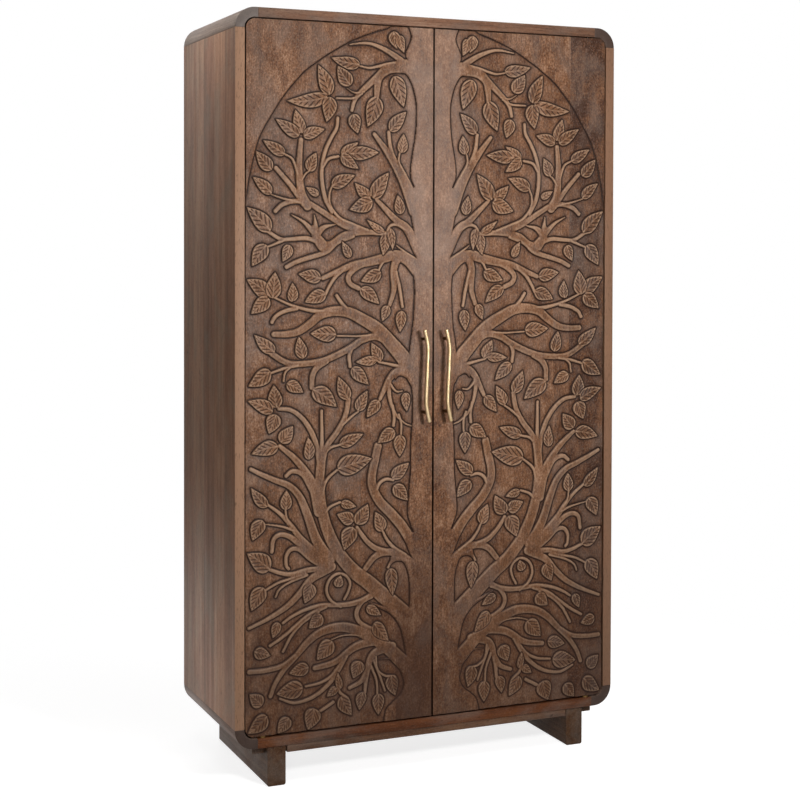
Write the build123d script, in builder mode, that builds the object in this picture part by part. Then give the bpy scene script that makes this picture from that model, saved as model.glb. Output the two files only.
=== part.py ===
"""Tall two-door cabinet with a carved tree across its doors, built as separate pieces in millimetres.

The frame is shared by every tool: X runs to the right, Y to the back, Z up, and the floor is at zero.
"""

import os
from math import cos, pi, sin

from build123d import *

# Case
case_width = 1000
case_height = 1716
case_depth = 430
board_thickness = 23
corner_radius = 48
corner_block_tail = 8
leg_height = 94

# Doors
door_thickness = 22
door_side_gap = 3
door_centre_gap = 4
door_top_gap = 3
door_bottom_gap = 4
door_corner_radius = 22
carving_depth = 4
leaf_root_overlap = 2

# Door pivots
pivot_inset = 44
pivot_setback = 11
pivot_pin_radius = 4
pivot_pin_seat = 20
pivot_bush_radius = 7
pivot_bush_depth = 14
pivot_washer_radius = 9
pivot_running_clearance = 0.05
pivot_pin_engagement = 10

# Door pulls
handle_offset = 28.5
handle_height = 949.5
handle_length = 223
handle_bar_radius = 5
handle_standoff = 28
handle_post_radius = 4
handle_post_spacing = 176
handle_bend_spacing = 152
handle_bend_sway = 2.8
handle_end_sway = 6.9
handle_bend_radius = 40
handle_end_chamfer = 1
handle_screw_radius = 2
handle_screw_reach = 12
handle_screw_head_radius = 4.5
handle_screw_head_height = 3

# Catches, strike plates and stops
catch_width = 46
catch_depth = 14
catch_height = 16
catch_inset = 70
strike_width = 40
strike_height = 12
strike_thickness = 1.5
strike_drop = 2
stop_width = 40
stop_depth = 16
stop_height = 14
closing_clearance = 0.3

# Back
back_thickness = 9
back_inset = 4
back_clearance = 0.3
batten_width = 20
batten_depth = 18
wall_rail_height = 60
wall_rail_end_gap = 4
wall_hole_radius = 3
wall_hole_spacing = 600

# Shelves and their pins
shelf_thickness = 20
shelf_setback = 62
shelf_end_gap = 1
housing_depth = 6
fixed_shelf_height = 905
loose_shelf_heights = (440, 1225, 1515)
pin_radius = 2.5
pin_length = 18
pin_hole_depth = 9
pin_front_inset = 45
pin_back_inset = 45
pin_hole_clearance = 0.05

# Base boards and legs
base_thickness = 18
base_rail_depth = 380
base_rail_setback = 3
base_rail_end_gap = 3
base_strip_width = 32
base_strip_depth = 345
base_strip_setback = 20
base_strip_gap = 1
leg_thickness = 45
leg_inset = 81
leg_setback = 5
leg_length = 384
leg_arris_radius = 5
leg_screw_count = 2
leg_screw_radius = 3
leg_screw_length = 62
leg_screw_head_radius = 5.5
leg_screw_head_height = 4
leg_screw_end_inset = 60
screw_hole_clearance = 0.1

# Overrun of every cut
overrun = 2

# Carving tables: places in thousandths of the door's width from its outer edge and of its height from
# its top; widths in thousandths of its width
table_scale = 0.001
door_edge_overrun_share = 12
arch_shares = ((-12, 258), (0, 243), (16, 218), (47, 184), (102, 146), (203, 104), (313, 69), (438, 42),
               (547, 24), (657, 11), (750, 2), (775, -4))
trunk_edge_shares = (
    ((858, -4), (882, 14), (850, 38), (862, 49)),
    ((812, 66), (850, 67), (885, 82), (908, 105), (912, 125), (905, 155), (880, 200), (880, 216), (899, 229)),
    ((855, 240), (872, 258), (900, 298)),
    ((838, 291), (870, 305), (911, 333)),
    ((800, 331),),
    ((803, 350), (838, 336), (868, 342), (893, 354), (902, 375), (893, 430), (875, 472), (893, 484)),
    ((795, 497),),
    ((795, 507), (812, 502), (845, 502), (878, 512), (893, 533), (893, 565), (883, 640), (867, 700),
     (880, 715), (900, 729)),
    ((844, 734), (872, 755), (899, 771)),
    ((775, 760),),
    ((765, 776), (795, 770), (840, 771), (866, 784), (879, 803), (880, 826), (875, 848)),
    ((650, 825), (704, 834), (797, 853), (829, 868), (848, 889), (860, 908)),
    ((705, 910), (766, 911), (813, 922), (840, 938), (848, 951), (829, 964), (782, 975), (750, 985),
     (735, 1004)),
)
# each limb: width at its root, width at its tip, then the points of its middle line
limb_shares = (
    (44, 10, ((890, 62), (800, 44), (720, 32), (640, 26), (545, 29))),
    (26, 10, ((840, 52), (760, 54), (700, 58), (598, 59))),
    (70, 30, ((860, 58), (760, 60), (705, 72), (690, 102))),
    (40, 20, ((720, 66), (650, 84), (600, 97), (556, 122))),
    (50, 26, ((320, 258), (288, 240), (277, 210), (286, 166))),
    (26, 20, ((450, 266), (412, 246), (398, 200), (445, 162), (480, 134))),
    (22, 12, ((290, 232), (262, 207), (204, 187))),
    (30, 24, ((300, 256), (235, 231), (155, 206))),
    (36, 24, ((620, 294), (520, 286), (450, 275), (320, 254), (250, 252), (190, 257), (153, 266))),
    (24, 12, ((640, 293), (560, 284), (490, 275), (442, 258), (436, 242), (452, 229))),
    (26, 40, ((745, 297), (580, 296), (510, 300), (450, 312), (395, 314))),
    (60, 40, ((400, 314), (370, 303), (355, 290))),
    (36, 6, ((365, 299), (300, 281), (236, 271))),
    (40, 6, ((362, 296), (356, 271))),
    (40, 6, ((372, 297), (410, 288), (470, 284))),
    (30, 24, ((560, 300), (480, 309), (420, 323), (330, 331), (212, 344))),
    (26, 20, ((400, 312), (320, 304), (180, 305), (112, 294))),
    (80, 22, ((915, 266), (850, 226), (800, 201), (745, 179), (678, 155))),
    (26, 22, ((805, 200), (768, 176), (756, 152))),
    (60, 22, ((925, 322), (862, 291), (800, 278), (692, 249))),
    (24, 14, ((860, 292), (805, 284), (765, 286), (742, 297))),
    (70, 24, ((930, 354), (860, 334), (790, 328), (720, 333), (560, 342), (480, 351), (402, 360))),
    (24, 18, ((520, 346), (470, 358), (416, 383))),
    (34, 26, ((650, 337), (585, 345), (540, 357), (548, 368), (594, 375))),
    (44, 24, ((800, 332), (784, 350), (786, 378), (764, 399))),
    (24, 18, ((795, 352), (834, 402))),
    (22, 14, ((760, 330), (705, 348))),
    (90, 30, ((925, 512), (850, 480), (780, 457), (700, 434), (620, 420), (540, 409), (460, 407),
              (390, 412), (340, 423), (280, 434), (147, 438))),
    (26, 20, ((590, 416), (530, 404), (476, 385))),
    (28, 12, ((480, 407), (380, 407), (300, 403), (150, 387))),
    (24, 22, ((265, 402), (200, 406), (136, 421))),
    (40, 30, ((800, 462), (700, 445), (620, 448), (560, 458), (480, 469), (400, 477), (240, 480),
              (130, 464))),
    (32, 20, ((650, 446), (575, 455), (545, 469), (548, 486))),
    (22, 14, ((270, 482), (130, 492))),
    (36, 28, ((420, 477), (372, 486), (345, 514))),
    (30, 12, ((910, 506), (840, 491), (703, 481))),
    (60, 22, ((930, 510), (870, 499), (810, 495), (765, 505), (712, 534))),
    (30, 8, ((760, 506), (764, 532), (795, 556), (884, 575))),
    (90, 46, ((900, 862), (800, 835), (720, 815), (650, 797), (570, 779), (490, 752), (430, 718),
              (398, 685), (388, 650), (395, 610))),
    (26, 18, ((395, 620), (396, 548))),
    (34, 22, ((392, 640), (380, 610), (335, 573), (290, 556), (172, 542))),
    (34, 28, ((396, 640), (408, 612), (478, 579), (515, 562), (540, 533))),
    (30, 14, ((392, 655), (405, 618), (435, 602), (495, 597))),
    (24, 14, ((395, 680), (430, 644), (478, 633))),
    (60, 24, ((385, 690), (350, 652), (310, 632), (178, 595))),
    (36, 22, ((350, 660), (300, 637), (245, 631), (210, 637))),
    (60, 22, ((440, 760), (370, 730), (320, 692), (280, 667), (225, 651), (28, 625))),
    (50, 16, ((450, 770), (360, 747), (285, 726), (116, 676))),
    (40, 22, ((430, 768), (350, 752), (230, 723), (180, 719), (146, 725), (136, 742))),
    (36, 18, ((420, 770), (340, 756), (280, 742), (236, 741), (212, 750), (216, 766))),
    (34, 20, ((430, 772), (240, 776), (180, 773), (126, 767))),
    (46, 18, ((440, 772), (345, 785), (230, 818), (18, 847))),
    (34, 16, ((690, 812), (620, 822), (460, 825), (310, 828), (195, 844))),
    (24, 18, ((420, 826), (330, 836), (255, 851), (128, 874))),
    (26, 24, ((665, 818), (620, 823), (586, 838), (600, 852), (690, 866))),
    (60, 44, ((930, 764), (845, 724), (780, 702), (715, 683), (675, 663), (668, 645), (701, 602))),
    (24, 16, ((680, 672), (708, 656), (745, 650), (785, 652))),
    (34, 22, ((790, 758), (700, 750), (650, 740), (588, 717))),
    (26, 14, ((850, 762), (790, 750), (726, 724))),
    (50, 30, ((930, 784), (850, 766), (790, 757), (730, 756), (680, 762), (634, 777))),
    (80, 30, ((890, 932), (790, 903), (730, 888), (660, 875), (590, 865), (520, 858), (450, 858),
              (385, 863), (330, 873), (235, 900))),
    (28, 26, ((260, 892), (190, 904), (110, 908), (20, 908))),
    (30, 24, ((260, 893), (200, 910), (130, 945))),
    (50, 28, ((720, 882), (580, 888), (490, 904), (440, 909), (363, 912))),
    (24, 14, ((530, 900), (490, 914), (450, 926), (390, 934), (315, 937))),
    (30, 16, ((520, 903), (440, 936), (380, 949), (320, 956), (250, 958), (180, 950))),
    (50, 22, ((780, 893), (700, 898), (665, 906), (645, 922), (550, 946))),
    (30, 20, ((655, 915), (632, 955))),
)
# each leaf: across and down at its stalk, across and down at its point, then its width
leaf_shares = (
    (780, 7, 800, 32, 60), (598, 57, 445, 49, 62), (548, 87, 478, 60, 74), (437, 102, 375, 60, 76),
    (425, 104, 212, 112, 70), (438, 104, 420, 140, 76), (695, 102, 640, 145, 88), (562, 127, 588, 155, 66),
    (785, 71, 838, 115, 84), (762, 150, 853, 121, 66), (292, 157, 256, 124, 62), (275, 161, 153, 138, 60),
    (134, 209, 52, 183, 66), (328, 210, 366, 183, 60), (545, 184, 703, 181, 68), (447, 230, 574, 214, 64),
    (670, 247, 757, 209, 76), (668, 250, 543, 263, 76), (128, 294, 5, 261, 80), (106, 313, 32, 343, 76),
    (118, 384, 5, 361, 76), (138, 388, 152, 351, 78), (122, 388, 28, 409, 72), (392, 361, 272, 354, 66),
    (418, 382, 305, 394, 68), (716, 352, 605, 365, 66), (603, 375, 706, 398, 64), (474, 440, 335, 438, 76),
    (150, 463, 44, 438, 62), (300, 473, 275, 442, 62), (716, 480, 664, 453, 60), (556, 488, 649, 513, 64),
    (128, 489, 14, 510, 76), (212, 507, 300, 521, 60), (162, 541, 145, 509, 72), (142, 546, 10, 530, 66),
    (158, 550, 120, 577, 76), (348, 517, 477, 543, 84), (540, 533, 485, 500, 66), (588, 550, 643, 521, 60),
    (706, 536, 638, 560, 60), (168, 595, 30, 604, 72), (180, 590, 246, 567, 72), (492, 597, 622, 583, 60),
    (480, 631, 668, 619, 100), (792, 580, 699, 597, 68), (820, 587, 820, 619, 66), (777, 649, 873, 628, 64),
    (788, 660, 866, 683, 68), (208, 685, 212, 657, 60), (126, 767, 8, 742, 92), (88, 697, 36, 725, 72),
    (92, 791, 30, 823, 80), (345, 792, 308, 819, 70), (568, 708, 479, 696, 66), (584, 712, 646, 684, 74),
    (568, 716, 518, 748, 84), (726, 725, 686, 696, 64), (772, 779, 783, 819, 66), (680, 856, 762, 884, 66),
    (330, 910, 226, 916, 66), (300, 938, 160, 943, 88), (455, 876, 372, 901, 84), (86, 957, 20, 939, 68),
    (112, 972, 12, 994, 78), (226, 978, 168, 999, 68), (358, 969, 325, 999, 86), (500, 957, 560, 986, 70),
    (606, 909, 568, 933, 74), (776, 934, 800, 965, 68), (705, 959, 706, 990, 64), (400, 838, 330, 855, 70),
    (45, 880, 130, 888, 60),
)
# outline of a leaf: how far along it, and what part of its half width it has there
leaf_outline_shares = ((0.24, 0.92), (0.68, 0.8))

# Sizes that follow
half_width = case_width / 2
inner_half = half_width - board_thickness
case_top = leg_height + case_height
inner_bottom = leg_height + board_thickness
inner_top = case_top - board_thickness
inner_corner_radius = corner_radius - board_thickness
handle_projection = handle_standoff + handle_bar_radius
front_y = (handle_projection - case_depth) / 2
back_y = front_y + case_depth
door_width = inner_half - door_side_gap - door_centre_gap / 2
door_top = inner_top - door_top_gap
door_bottom = inner_bottom + door_bottom_gap
door_height = door_top - door_bottom
door_back_y = front_y + door_thickness
pivot_x = inner_half - door_side_gap - pivot_inset
pivot_y = front_y + pivot_setback
batten_back_y = back_y - back_inset - back_thickness
batten_front_y = batten_back_y - batten_depth
shelf_front_y = front_y + shelf_setback
leg_outer_x = half_width - leg_inset
leg_inner_x = leg_outer_x - leg_thickness
handle_post_offsets = (-handle_post_spacing / 2, handle_post_spacing / 2)
sides = {"left": -1, "right": 1}

front_plane = Plane(origin=(0, front_y, 0), x_dir=(1, 0, 0), z_dir=(0, -1, 0))


def save(builder, name):
    """Name the finished piece and write its file."""
    builder.part.label = name
    export_step(builder.part, f"parts/{name}.step")
    return builder.part


def facing_plane(y):
    """Return an upright plane at depth y that looks to the front, with X across and Z up."""
    return Plane(origin=(0, y, 0), x_dir=(1, 0, 0), z_dir=(0, -1, 0))


def block(x_range, y_range, z_range):
    """Add a square block between the given limits to the piece that is being built."""
    ranges = (x_range, y_range, z_range)
    with Locations(tuple((low + high) / 2 for low, high in ranges)):
        Box(*(high - low for low, high in ranges))


def span(side, near, far):
    """Return the X limits of a piece that lies between two distances from the middle, on one side."""
    return tuple(sorted((side * near, side * far)))


def drill(plane, places, radius, depth):
    """Cut round holes of one depth at places on a plane, against the plane's direction."""
    with BuildSketch(plane) as holes:
        with Locations(*places):
            Circle(radius)
    extrude(holes.sketch, amount=-depth, mode=Mode.SUBTRACT)


# Case boards


def pin_places():
    """Return depth and height of every shelf pin in one side panel."""
    depths = (shelf_front_y + pin_front_inset, batten_front_y - pin_back_inset)
    return [(y, height - pin_radius) for height in loose_shelf_heights for y in depths]


def build_side_panel(hand):
    """Side board with the housing for the fixed shelf and the holes for the shelf pins."""
    side = sides[hand]
    with BuildPart() as panel:
        block(span(side, inner_half, half_width), (front_y, back_y),
              (leg_height + corner_radius, case_top - corner_radius))
        with BuildSketch(Plane(origin=(side * inner_half, 0, 0), x_dir=(0, 1, 0), z_dir=(1, 0, 0))):
            with Locations(((shelf_front_y + batten_front_y) / 2, fixed_shelf_height + shelf_thickness / 2)):
                Rectangle(batten_front_y - shelf_front_y, shelf_thickness)
        extrude(amount=side * housing_depth, mode=Mode.SUBTRACT)
        with BuildSketch(Plane(origin=(side * inner_half, 0, 0), x_dir=(0, 1, 0), z_dir=(1, 0, 0))):
            with Locations(*pin_places()):
                Circle(pin_radius + pin_hole_clearance)
        extrude(amount=side * pin_hole_depth, mode=Mode.SUBTRACT)
    return save(panel, f"{hand}_side_panel")


def build_top_panel():
    """Top board with a blind hole for each upper pivot bush."""
    with BuildPart() as top_panel:
        reach = half_width - corner_radius - corner_block_tail
        block((-reach, reach), (front_y, back_y), (inner_top, case_top))
        drill(Plane.XY.offset(inner_top + pivot_bush_depth), [(x, pivot_y) for x in (-pivot_x, pivot_x)],
              pivot_bush_radius, pivot_bush_depth)
    return save(top_panel, "top_panel")


def leg_screw_places():
    """Return the places of the leg screws in plan."""
    start = front_y + leg_setback + leg_screw_end_inset
    pitch = (leg_length - 2 * leg_screw_end_inset) / (leg_screw_count - 1)
    middle = leg_outer_x - leg_thickness / 2
    return [(x, start + pitch * index) for x in (-middle, middle) for index in range(leg_screw_count)]


def build_bottom_panel():
    """Bottom board with the lower bush holes and the leg screw holes."""
    with BuildPart() as bottom_panel:
        reach = half_width - corner_radius - corner_block_tail
        block((-reach, reach), (front_y, back_y), (leg_height, inner_bottom))
        drill(Plane.XY.offset(inner_bottom), [(x, pivot_y) for x in (-pivot_x, pivot_x)],
              pivot_bush_radius, pivot_bush_depth)
        drill(Plane.XY.offset(inner_bottom), leg_screw_places(),
              leg_screw_radius + screw_hole_clearance, board_thickness)
        drill(Plane.XY.offset(inner_bottom), leg_screw_places(),
              leg_screw_head_radius + screw_hole_clearance, leg_screw_head_height)
    return save(bottom_panel, "bottom_panel")


def build_corner_block(hand, level):
    """Rounded block that joins a side board to the top or bottom board."""
    side = sides[hand]
    up = 1 if level == "top" else -1
    edge_z = case_top if level == "top" else leg_height
    arc_x = half_width - corner_radius
    arc_z = edge_z - up * corner_radius
    tail_x = arc_x - corner_block_tail
    diagonal = cos(pi / 4)
    with BuildPart() as corner_block:
        with BuildSketch(front_plane):
            with BuildLine():
                Line((side * tail_x, edge_z), (side * arc_x, edge_z))
                ThreePointArc((side * arc_x, edge_z),
                              (side * (arc_x + corner_radius * diagonal), arc_z + up * corner_radius * diagonal),
                              (side * half_width, arc_z))
                Line((side * half_width, arc_z), (side * inner_half, arc_z))
                ThreePointArc((side * inner_half, arc_z),
                              (side * (arc_x + inner_corner_radius * diagonal),
                               arc_z + up * inner_corner_radius * diagonal),
                              (side * arc_x, arc_z + up * inner_corner_radius))
                Line((side * arc_x, arc_z + up * inner_corner_radius),
                     (side * tail_x, arc_z + up * inner_corner_radius))
                Line((side * tail_x, arc_z + up * inner_corner_radius), (side * tail_x, edge_z))
            make_face()
        extrude(amount=-case_depth)
    return save(corner_block, f"{level}_{hand}_corner_block")


# Back and shelves


def wall_hole_places():
    """Return the places of the wall holes, across and up."""
    return [(x, inner_top - wall_rail_height / 2) for x in (-wall_hole_spacing / 2, wall_hole_spacing / 2)]


def build_back_panel():
    """Thin back board let in between the case boards, a little in front of their rear edges."""
    with BuildPart() as back_panel:
        with BuildSketch(facing_plane(batten_back_y)):
            with Locations((0, (inner_top + inner_bottom) / 2)):
                RectangleRounded(2 * (inner_half - back_clearance), inner_top - inner_bottom - 2 * back_clearance,
                                 inner_corner_radius - back_clearance)
        extrude(amount=-back_thickness)
        drill(facing_plane(batten_back_y), wall_hole_places(), wall_hole_radius, back_thickness)
    return save(back_panel, "back_panel")


def build_back_batten(hand):
    """Upright batten glued to a side board, which the back board is screwed to."""
    with BuildPart() as batten:
        block(span(sides[hand], inner_half - batten_width, inner_half), (batten_front_y, batten_back_y),
              (leg_height + corner_radius, case_top - corner_radius))
    return save(batten, f"{hand}_back_batten")


def build_wall_rail():
    """Rail under the top board with the two holes that fix the cabinet to a wall."""
    reach = inner_half - inner_corner_radius - wall_rail_end_gap
    with BuildPart() as wall_rail:
        block((-reach, reach), (batten_front_y, batten_back_y), (inner_top - wall_rail_height, inner_top))
        drill(facing_plane(batten_front_y), wall_hole_places(), wall_hole_radius, batten_depth)
    return save(wall_rail, "wall_rail")


def build_shelf(name, height, half_length):
    """Shelf board with its underside at a height."""
    with BuildPart() as shelf:
        block((-half_length, half_length), (shelf_front_y, batten_front_y), (height, height + shelf_thickness))
    return save(shelf, name)


def build_shelf_pins():
    """Twelve plain pegs, each half in its hole, that carry the loose shelves."""
    with BuildPart() as shelf_pins:
        for side in sides.values():
            start_x = side * (inner_half + pin_hole_depth)
            with BuildSketch(Plane(origin=(start_x, 0, 0), x_dir=(0, 1, 0), z_dir=(1, 0, 0))):
                with Locations(*pin_places()):
                    Circle(pin_radius)
            extrude(amount=-side * pin_length)
    return save(shelf_pins, "shelf_pins")


# Base boards and legs


def build_base_rail():
    """Board under the case between the legs, its front edge almost flush with the case."""
    reach = leg_inner_x - base_rail_end_gap
    start = front_y + base_rail_setback
    with BuildPart() as base_rail:
        block((-reach, reach), (start, start + base_rail_depth), (leg_height - base_thickness, leg_height))
    return save(base_rail, "base_rail")


def build_base_strip(hand):
    """Narrow board under the case outside a leg."""
    start = front_y + base_strip_setback
    near = leg_outer_x + base_strip_gap
    with BuildPart() as strip:
        block(span(sides[hand], near, near + base_strip_width), (start, start + base_strip_depth),
              (leg_height - base_thickness, leg_height))
    return save(strip, f"{hand}_base_strip")


def build_leg_panel(hand):
    """Leg board that runs from front to back, its lower arrises rounded, bored for its screws."""
    side = sides[hand]
    with BuildPart() as leg:
        with BuildSketch(facing_plane(front_y + leg_setback)) as profile:
            with Locations((side * (leg_outer_x - leg_thickness / 2), leg_height / 2)):
                Rectangle(leg_thickness, leg_height)
            fillet(profile.vertices().group_by(Axis.Z)[0], radius=leg_arris_radius)
        extrude(amount=-leg_length)
        drill(Plane.XY.offset(leg_height), [place for place in leg_screw_places() if place[0] * side > 0],
              leg_screw_radius + screw_hole_clearance, leg_screw_length - board_thickness + overrun)
    return save(leg, f"{hand}_leg_panel")


def build_leg_screws():
    """Screws that go down through the bottom board into the legs."""
    with BuildPart() as leg_screws:
        with BuildSketch(Plane.XY.offset(inner_bottom)):
            with Locations(*leg_screw_places()):
                Circle(leg_screw_radius)
        extrude(amount=-leg_screw_length)
        with BuildSketch(Plane.XY.offset(inner_bottom)):
            with Locations(*leg_screw_places()):
                Circle(leg_screw_head_radius)
        extrude(amount=-leg_screw_head_height)
    return save(leg_screws, "leg_screws")


# Door hardware that stays with the case


def build_pivot_bush(hand, level):
    """Bush let in flush with the top or bottom board, which a pivot pin turns in."""
    top = inner_top + pivot_bush_depth if level == "top" else inner_bottom
    with BuildPart() as bush:
        with BuildSketch(Plane.XY.offset(top)):
            with Locations((sides[hand] * pivot_x, pivot_y)):
                Circle(pivot_bush_radius)
                Circle(pivot_pin_radius + pivot_running_clearance, mode=Mode.SUBTRACT)
        extrude(amount=-pivot_bush_depth)
    return save(bush, f"{level}_{hand}_pivot_bush")


def build_thrust_washer(hand):
    """Washer on the lower bush that carries the door."""
    with BuildPart() as washer:
        with BuildSketch(Plane.XY.offset(inner_bottom)):
            with Locations((sides[hand] * pivot_x, pivot_y)):
                Circle(pivot_washer_radius)
                Circle(pivot_pin_radius + pivot_running_clearance, mode=Mode.SUBTRACT)
        extrude(amount=door_bottom_gap)
    return save(washer, f"{hand}_thrust_washer")


def build_magnetic_catch(hand):
    """Magnetic catch under the top board, just behind the strike plate of a closed door."""
    start = door_back_y + strike_thickness + closing_clearance
    with BuildPart() as catch:
        block(span(sides[hand], catch_inset - catch_width / 2, catch_inset + catch_width / 2),
              (start, start + catch_depth), (inner_top - catch_height, inner_top))
    return save(catch, f"{hand}_magnetic_catch")


def build_door_stop(hand):
    """Stop block on the bottom board behind a closed door."""
    start = door_back_y + closing_clearance
    with BuildPart() as stop:
        block(span(sides[hand], catch_inset - stop_width / 2, catch_inset + stop_width / 2),
              (start, start + stop_depth), (inner_bottom, inner_bottom + stop_height))
    return save(stop, f"{hand}_door_stop")


# Carving


def door_place(side, across_share, down_share):
    """Turn a place in the carving tables into X and Z on the front of a door."""
    across = across_share * table_scale * door_width
    down = down_share * table_scale * door_height
    return side * (inner_half - door_side_gap - across), door_top - down


def ribbon(side, row):
    """Return the outline of one limb: its middle line, widened evenly from tip to root."""
    root_share, tip_share, places = row
    middle = [Vector(*door_place(side, *place)) for place in places]
    left, right = [], []
    for index, point in enumerate(middle):
        before, after = middle[max(index - 1, 0)], middle[min(index + 1, len(middle) - 1)]
        across = (after - before).normalized().rotate(Axis.Z, 90)
        width_share = root_share + (tip_share - root_share) * index / (len(middle) - 1)
        reach = width_share * table_scale * door_width / 2
        left.append(point + across * reach)
        right.append(point - across * reach)
    return left + right[::-1]


def leaf_outline(side, row):
    """Return the outline of one leaf from its stalk round its point."""
    stalk_across_share, stalk_down_share, point_across_share, point_down_share, width_share = row
    stalk = Vector(*door_place(side, stalk_across_share, stalk_down_share))
    point = Vector(*door_place(side, point_across_share, point_down_share))
    along = (point - stalk).normalized()
    stalk -= along * leaf_root_overlap
    length = (point - stalk).length
    across = along.rotate(Axis.Z, 90) * (width_share * table_scale * door_width / 2)
    upper = [stalk + along * (length * run) + across * breadth for run, breadth in leaf_outline_shares]
    lower = [stalk + along * (length * run) - across * breadth for run, breadth in leaf_outline_shares]
    return [stalk] + upper + [point] + lower[::-1]


def face_of(points):
    """Return the flat face inside a closed outline."""
    return Face(Wire.make_polygon(points, close=True))


def field_outline(side):
    """Return the outline of the sunk field: the arch, the edge of the trunk and the door's edges."""
    inner = [place for scallop in trunk_edge_shares for place in scallop]
    outside = -door_edge_overrun_share
    places = list(arch_shares) + inner + [(outside, inner[-1][1])]
    return [Vector(*door_place(side, *place)) for place in places]


# Door leaves and what moves with them


def build_door_panel(hand):
    """Door board with the carved tree standing in its sunk field, bored for pins and pull screws."""
    side = sides[hand]
    reliefs = [face_of(ribbon(side, row)) for row in limb_shares]
    reliefs += [face_of(leaf_outline(side, row)) for row in leaf_shares]
    middle_x = side * (door_centre_gap + door_width) / 2
    with BuildPart() as door_panel:
        with BuildSketch(front_plane):
            with Locations((middle_x, (door_top + door_bottom) / 2)):
                RectangleRounded(door_width, door_height, door_corner_radius)
            square_x = side * (door_centre_gap / 2 + door_corner_radius / 2)
            with Locations((square_x, door_top - door_corner_radius / 2),
                           (square_x, door_bottom + door_corner_radius / 2)):
                Rectangle(door_corner_radius, door_corner_radius)
        extrude(amount=-door_thickness)
        with BuildSketch(front_plane):
            add(face_of(field_outline(side)))
            add(reliefs, mode=Mode.SUBTRACT)
        extrude(amount=-carving_depth, mode=Mode.SUBTRACT)
        place = [(side * pivot_x, pivot_y)]
        drill(Plane.XY.offset(door_top), place, pivot_pin_radius, pivot_pin_seat)
        drill(Plane.XY.offset(door_bottom + pivot_pin_seat), place, pivot_pin_radius, pivot_pin_seat)
        drill(front_plane, handle_places(hand), handle_screw_radius + screw_hole_clearance, door_thickness)
    return save(door_panel, f"{hand}_door_panel")


def build_pivot_pin(hand, level):
    """Pin in the top or bottom edge of a door that turns in its bush."""
    up = 1 if level == "top" else -1
    gap = door_top_gap if level == "top" else door_bottom_gap
    edge_z = door_top if level == "top" else door_bottom
    with BuildPart() as pin:
        with BuildSketch(Plane.XY.offset(edge_z - up * pivot_pin_seat)):
            with Locations((sides[hand] * pivot_x, pivot_y)):
                Circle(pivot_pin_radius)
        extrude(amount=up * (pivot_pin_seat + gap + pivot_pin_engagement))
    return save(pin, f"{hand}_door_{level}_pin")


def handle_places(hand):
    """Return the places of a pull's two posts, across and up."""
    return [(sides[hand] * handle_offset, handle_height + offset) for offset in handle_post_offsets]


def build_handle_bar(hand):
    """Round bar of a pull, bent a little to the left at its top and to the right at its foot."""
    x = sides[hand] * handle_offset
    plane = facing_plane(front_y - handle_standoff)
    end, bend = handle_length / 2, handle_bend_spacing / 2
    with BuildPart() as handle_bar:
        with BuildLine(plane) as path:
            FilletPolyline((x - handle_end_sway, handle_height + end), (x + handle_bend_sway, handle_height + bend),
                           (x - handle_bend_sway, handle_height - bend), (x + handle_end_sway, handle_height - end),
                           radius=handle_bend_radius)
        with BuildSketch(Plane(origin=path.line @ 0, z_dir=path.line % 0)):
            Circle(handle_bar_radius)
        sweep(path=path.line)
        ends = handle_bar.faces().filter_by(GeomType.PLANE).sort_by(Axis.Z)
        chamfer([edge for face in (ends[0], ends[-1]) for edge in face.edges()], length=handle_end_chamfer)
    return save(handle_bar, f"{hand}_handle_bar")


def build_handle_posts(hand, bar):
    """Two posts of a pull, hollowed to the round of the bar and bored for their screws."""
    with BuildPart() as handle_posts:
        with BuildSketch(front_plane):
            with Locations(*handle_places(hand)):
                Circle(handle_post_radius)
        extrude(amount=handle_standoff)
        add(bar, mode=Mode.SUBTRACT)
        with BuildSketch(front_plane):
            with Locations(*handle_places(hand)):
                Circle(handle_screw_radius + screw_hole_clearance)
        extrude(amount=handle_screw_reach + overrun, mode=Mode.SUBTRACT)
    return save(handle_posts, f"{hand}_handle_posts")


def build_handle_screws(hand):
    """Two screws that hold a pull from the inside of its door."""
    with BuildPart() as handle_screws:
        with BuildSketch(facing_plane(door_back_y)):
            with Locations(*handle_places(hand)):
                Circle(handle_screw_radius)
        extrude(amount=door_thickness + handle_screw_reach)
        with BuildSketch(facing_plane(door_back_y)):
            with Locations(*handle_places(hand)):
                Circle(handle_screw_head_radius)
        extrude(amount=-handle_screw_head_height)
    return save(handle_screws, f"{hand}_handle_screws")


def build_strike_plate(hand):
    """Steel plate on the back of a door that the catch holds."""
    with BuildPart() as strike_plate:
        block(span(sides[hand], catch_inset - strike_width / 2, catch_inset + strike_width / 2),
              (door_back_y, door_back_y + strike_thickness),
              (door_top - strike_drop - strike_height, door_top - strike_drop))
    return save(strike_plate, f"{hand}_strike_plate")


def build_cabinet():
    """Build every piece of the cabinet and write its file."""
    os.makedirs("parts", exist_ok=True)
    for hand in sides:
        build_side_panel(hand)
        build_back_batten(hand)
        build_base_strip(hand)
        build_leg_panel(hand)
        build_thrust_washer(hand)
        build_magnetic_catch(hand)
        build_door_stop(hand)
        for level in ("top", "bottom"):
            build_corner_block(hand, level)
            build_pivot_bush(hand, level)
            build_pivot_pin(hand, level)
        build_door_panel(hand)
        build_handle_posts(hand, build_handle_bar(hand))
        build_handle_screws(hand)
        build_strike_plate(hand)
    build_top_panel()
    build_bottom_panel()
    build_back_panel()
    build_wall_rail()
    build_shelf("fixed_shelf", fixed_shelf_height, inner_half + housing_depth)
    for name, height in zip(("lower_shelf", "upper_shelf", "top_shelf"), loose_shelf_heights):
        build_shelf(name, height, inner_half - shelf_end_gap)
    build_shelf_pins()
    build_base_rail()
    build_leg_screws()


build_cabinet()
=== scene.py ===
"""Looks of the tall carved cabinet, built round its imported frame.

Sizes in the classes are millimetres, as a maker writes them. They turn to metres where a mesh is made.
"""

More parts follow.
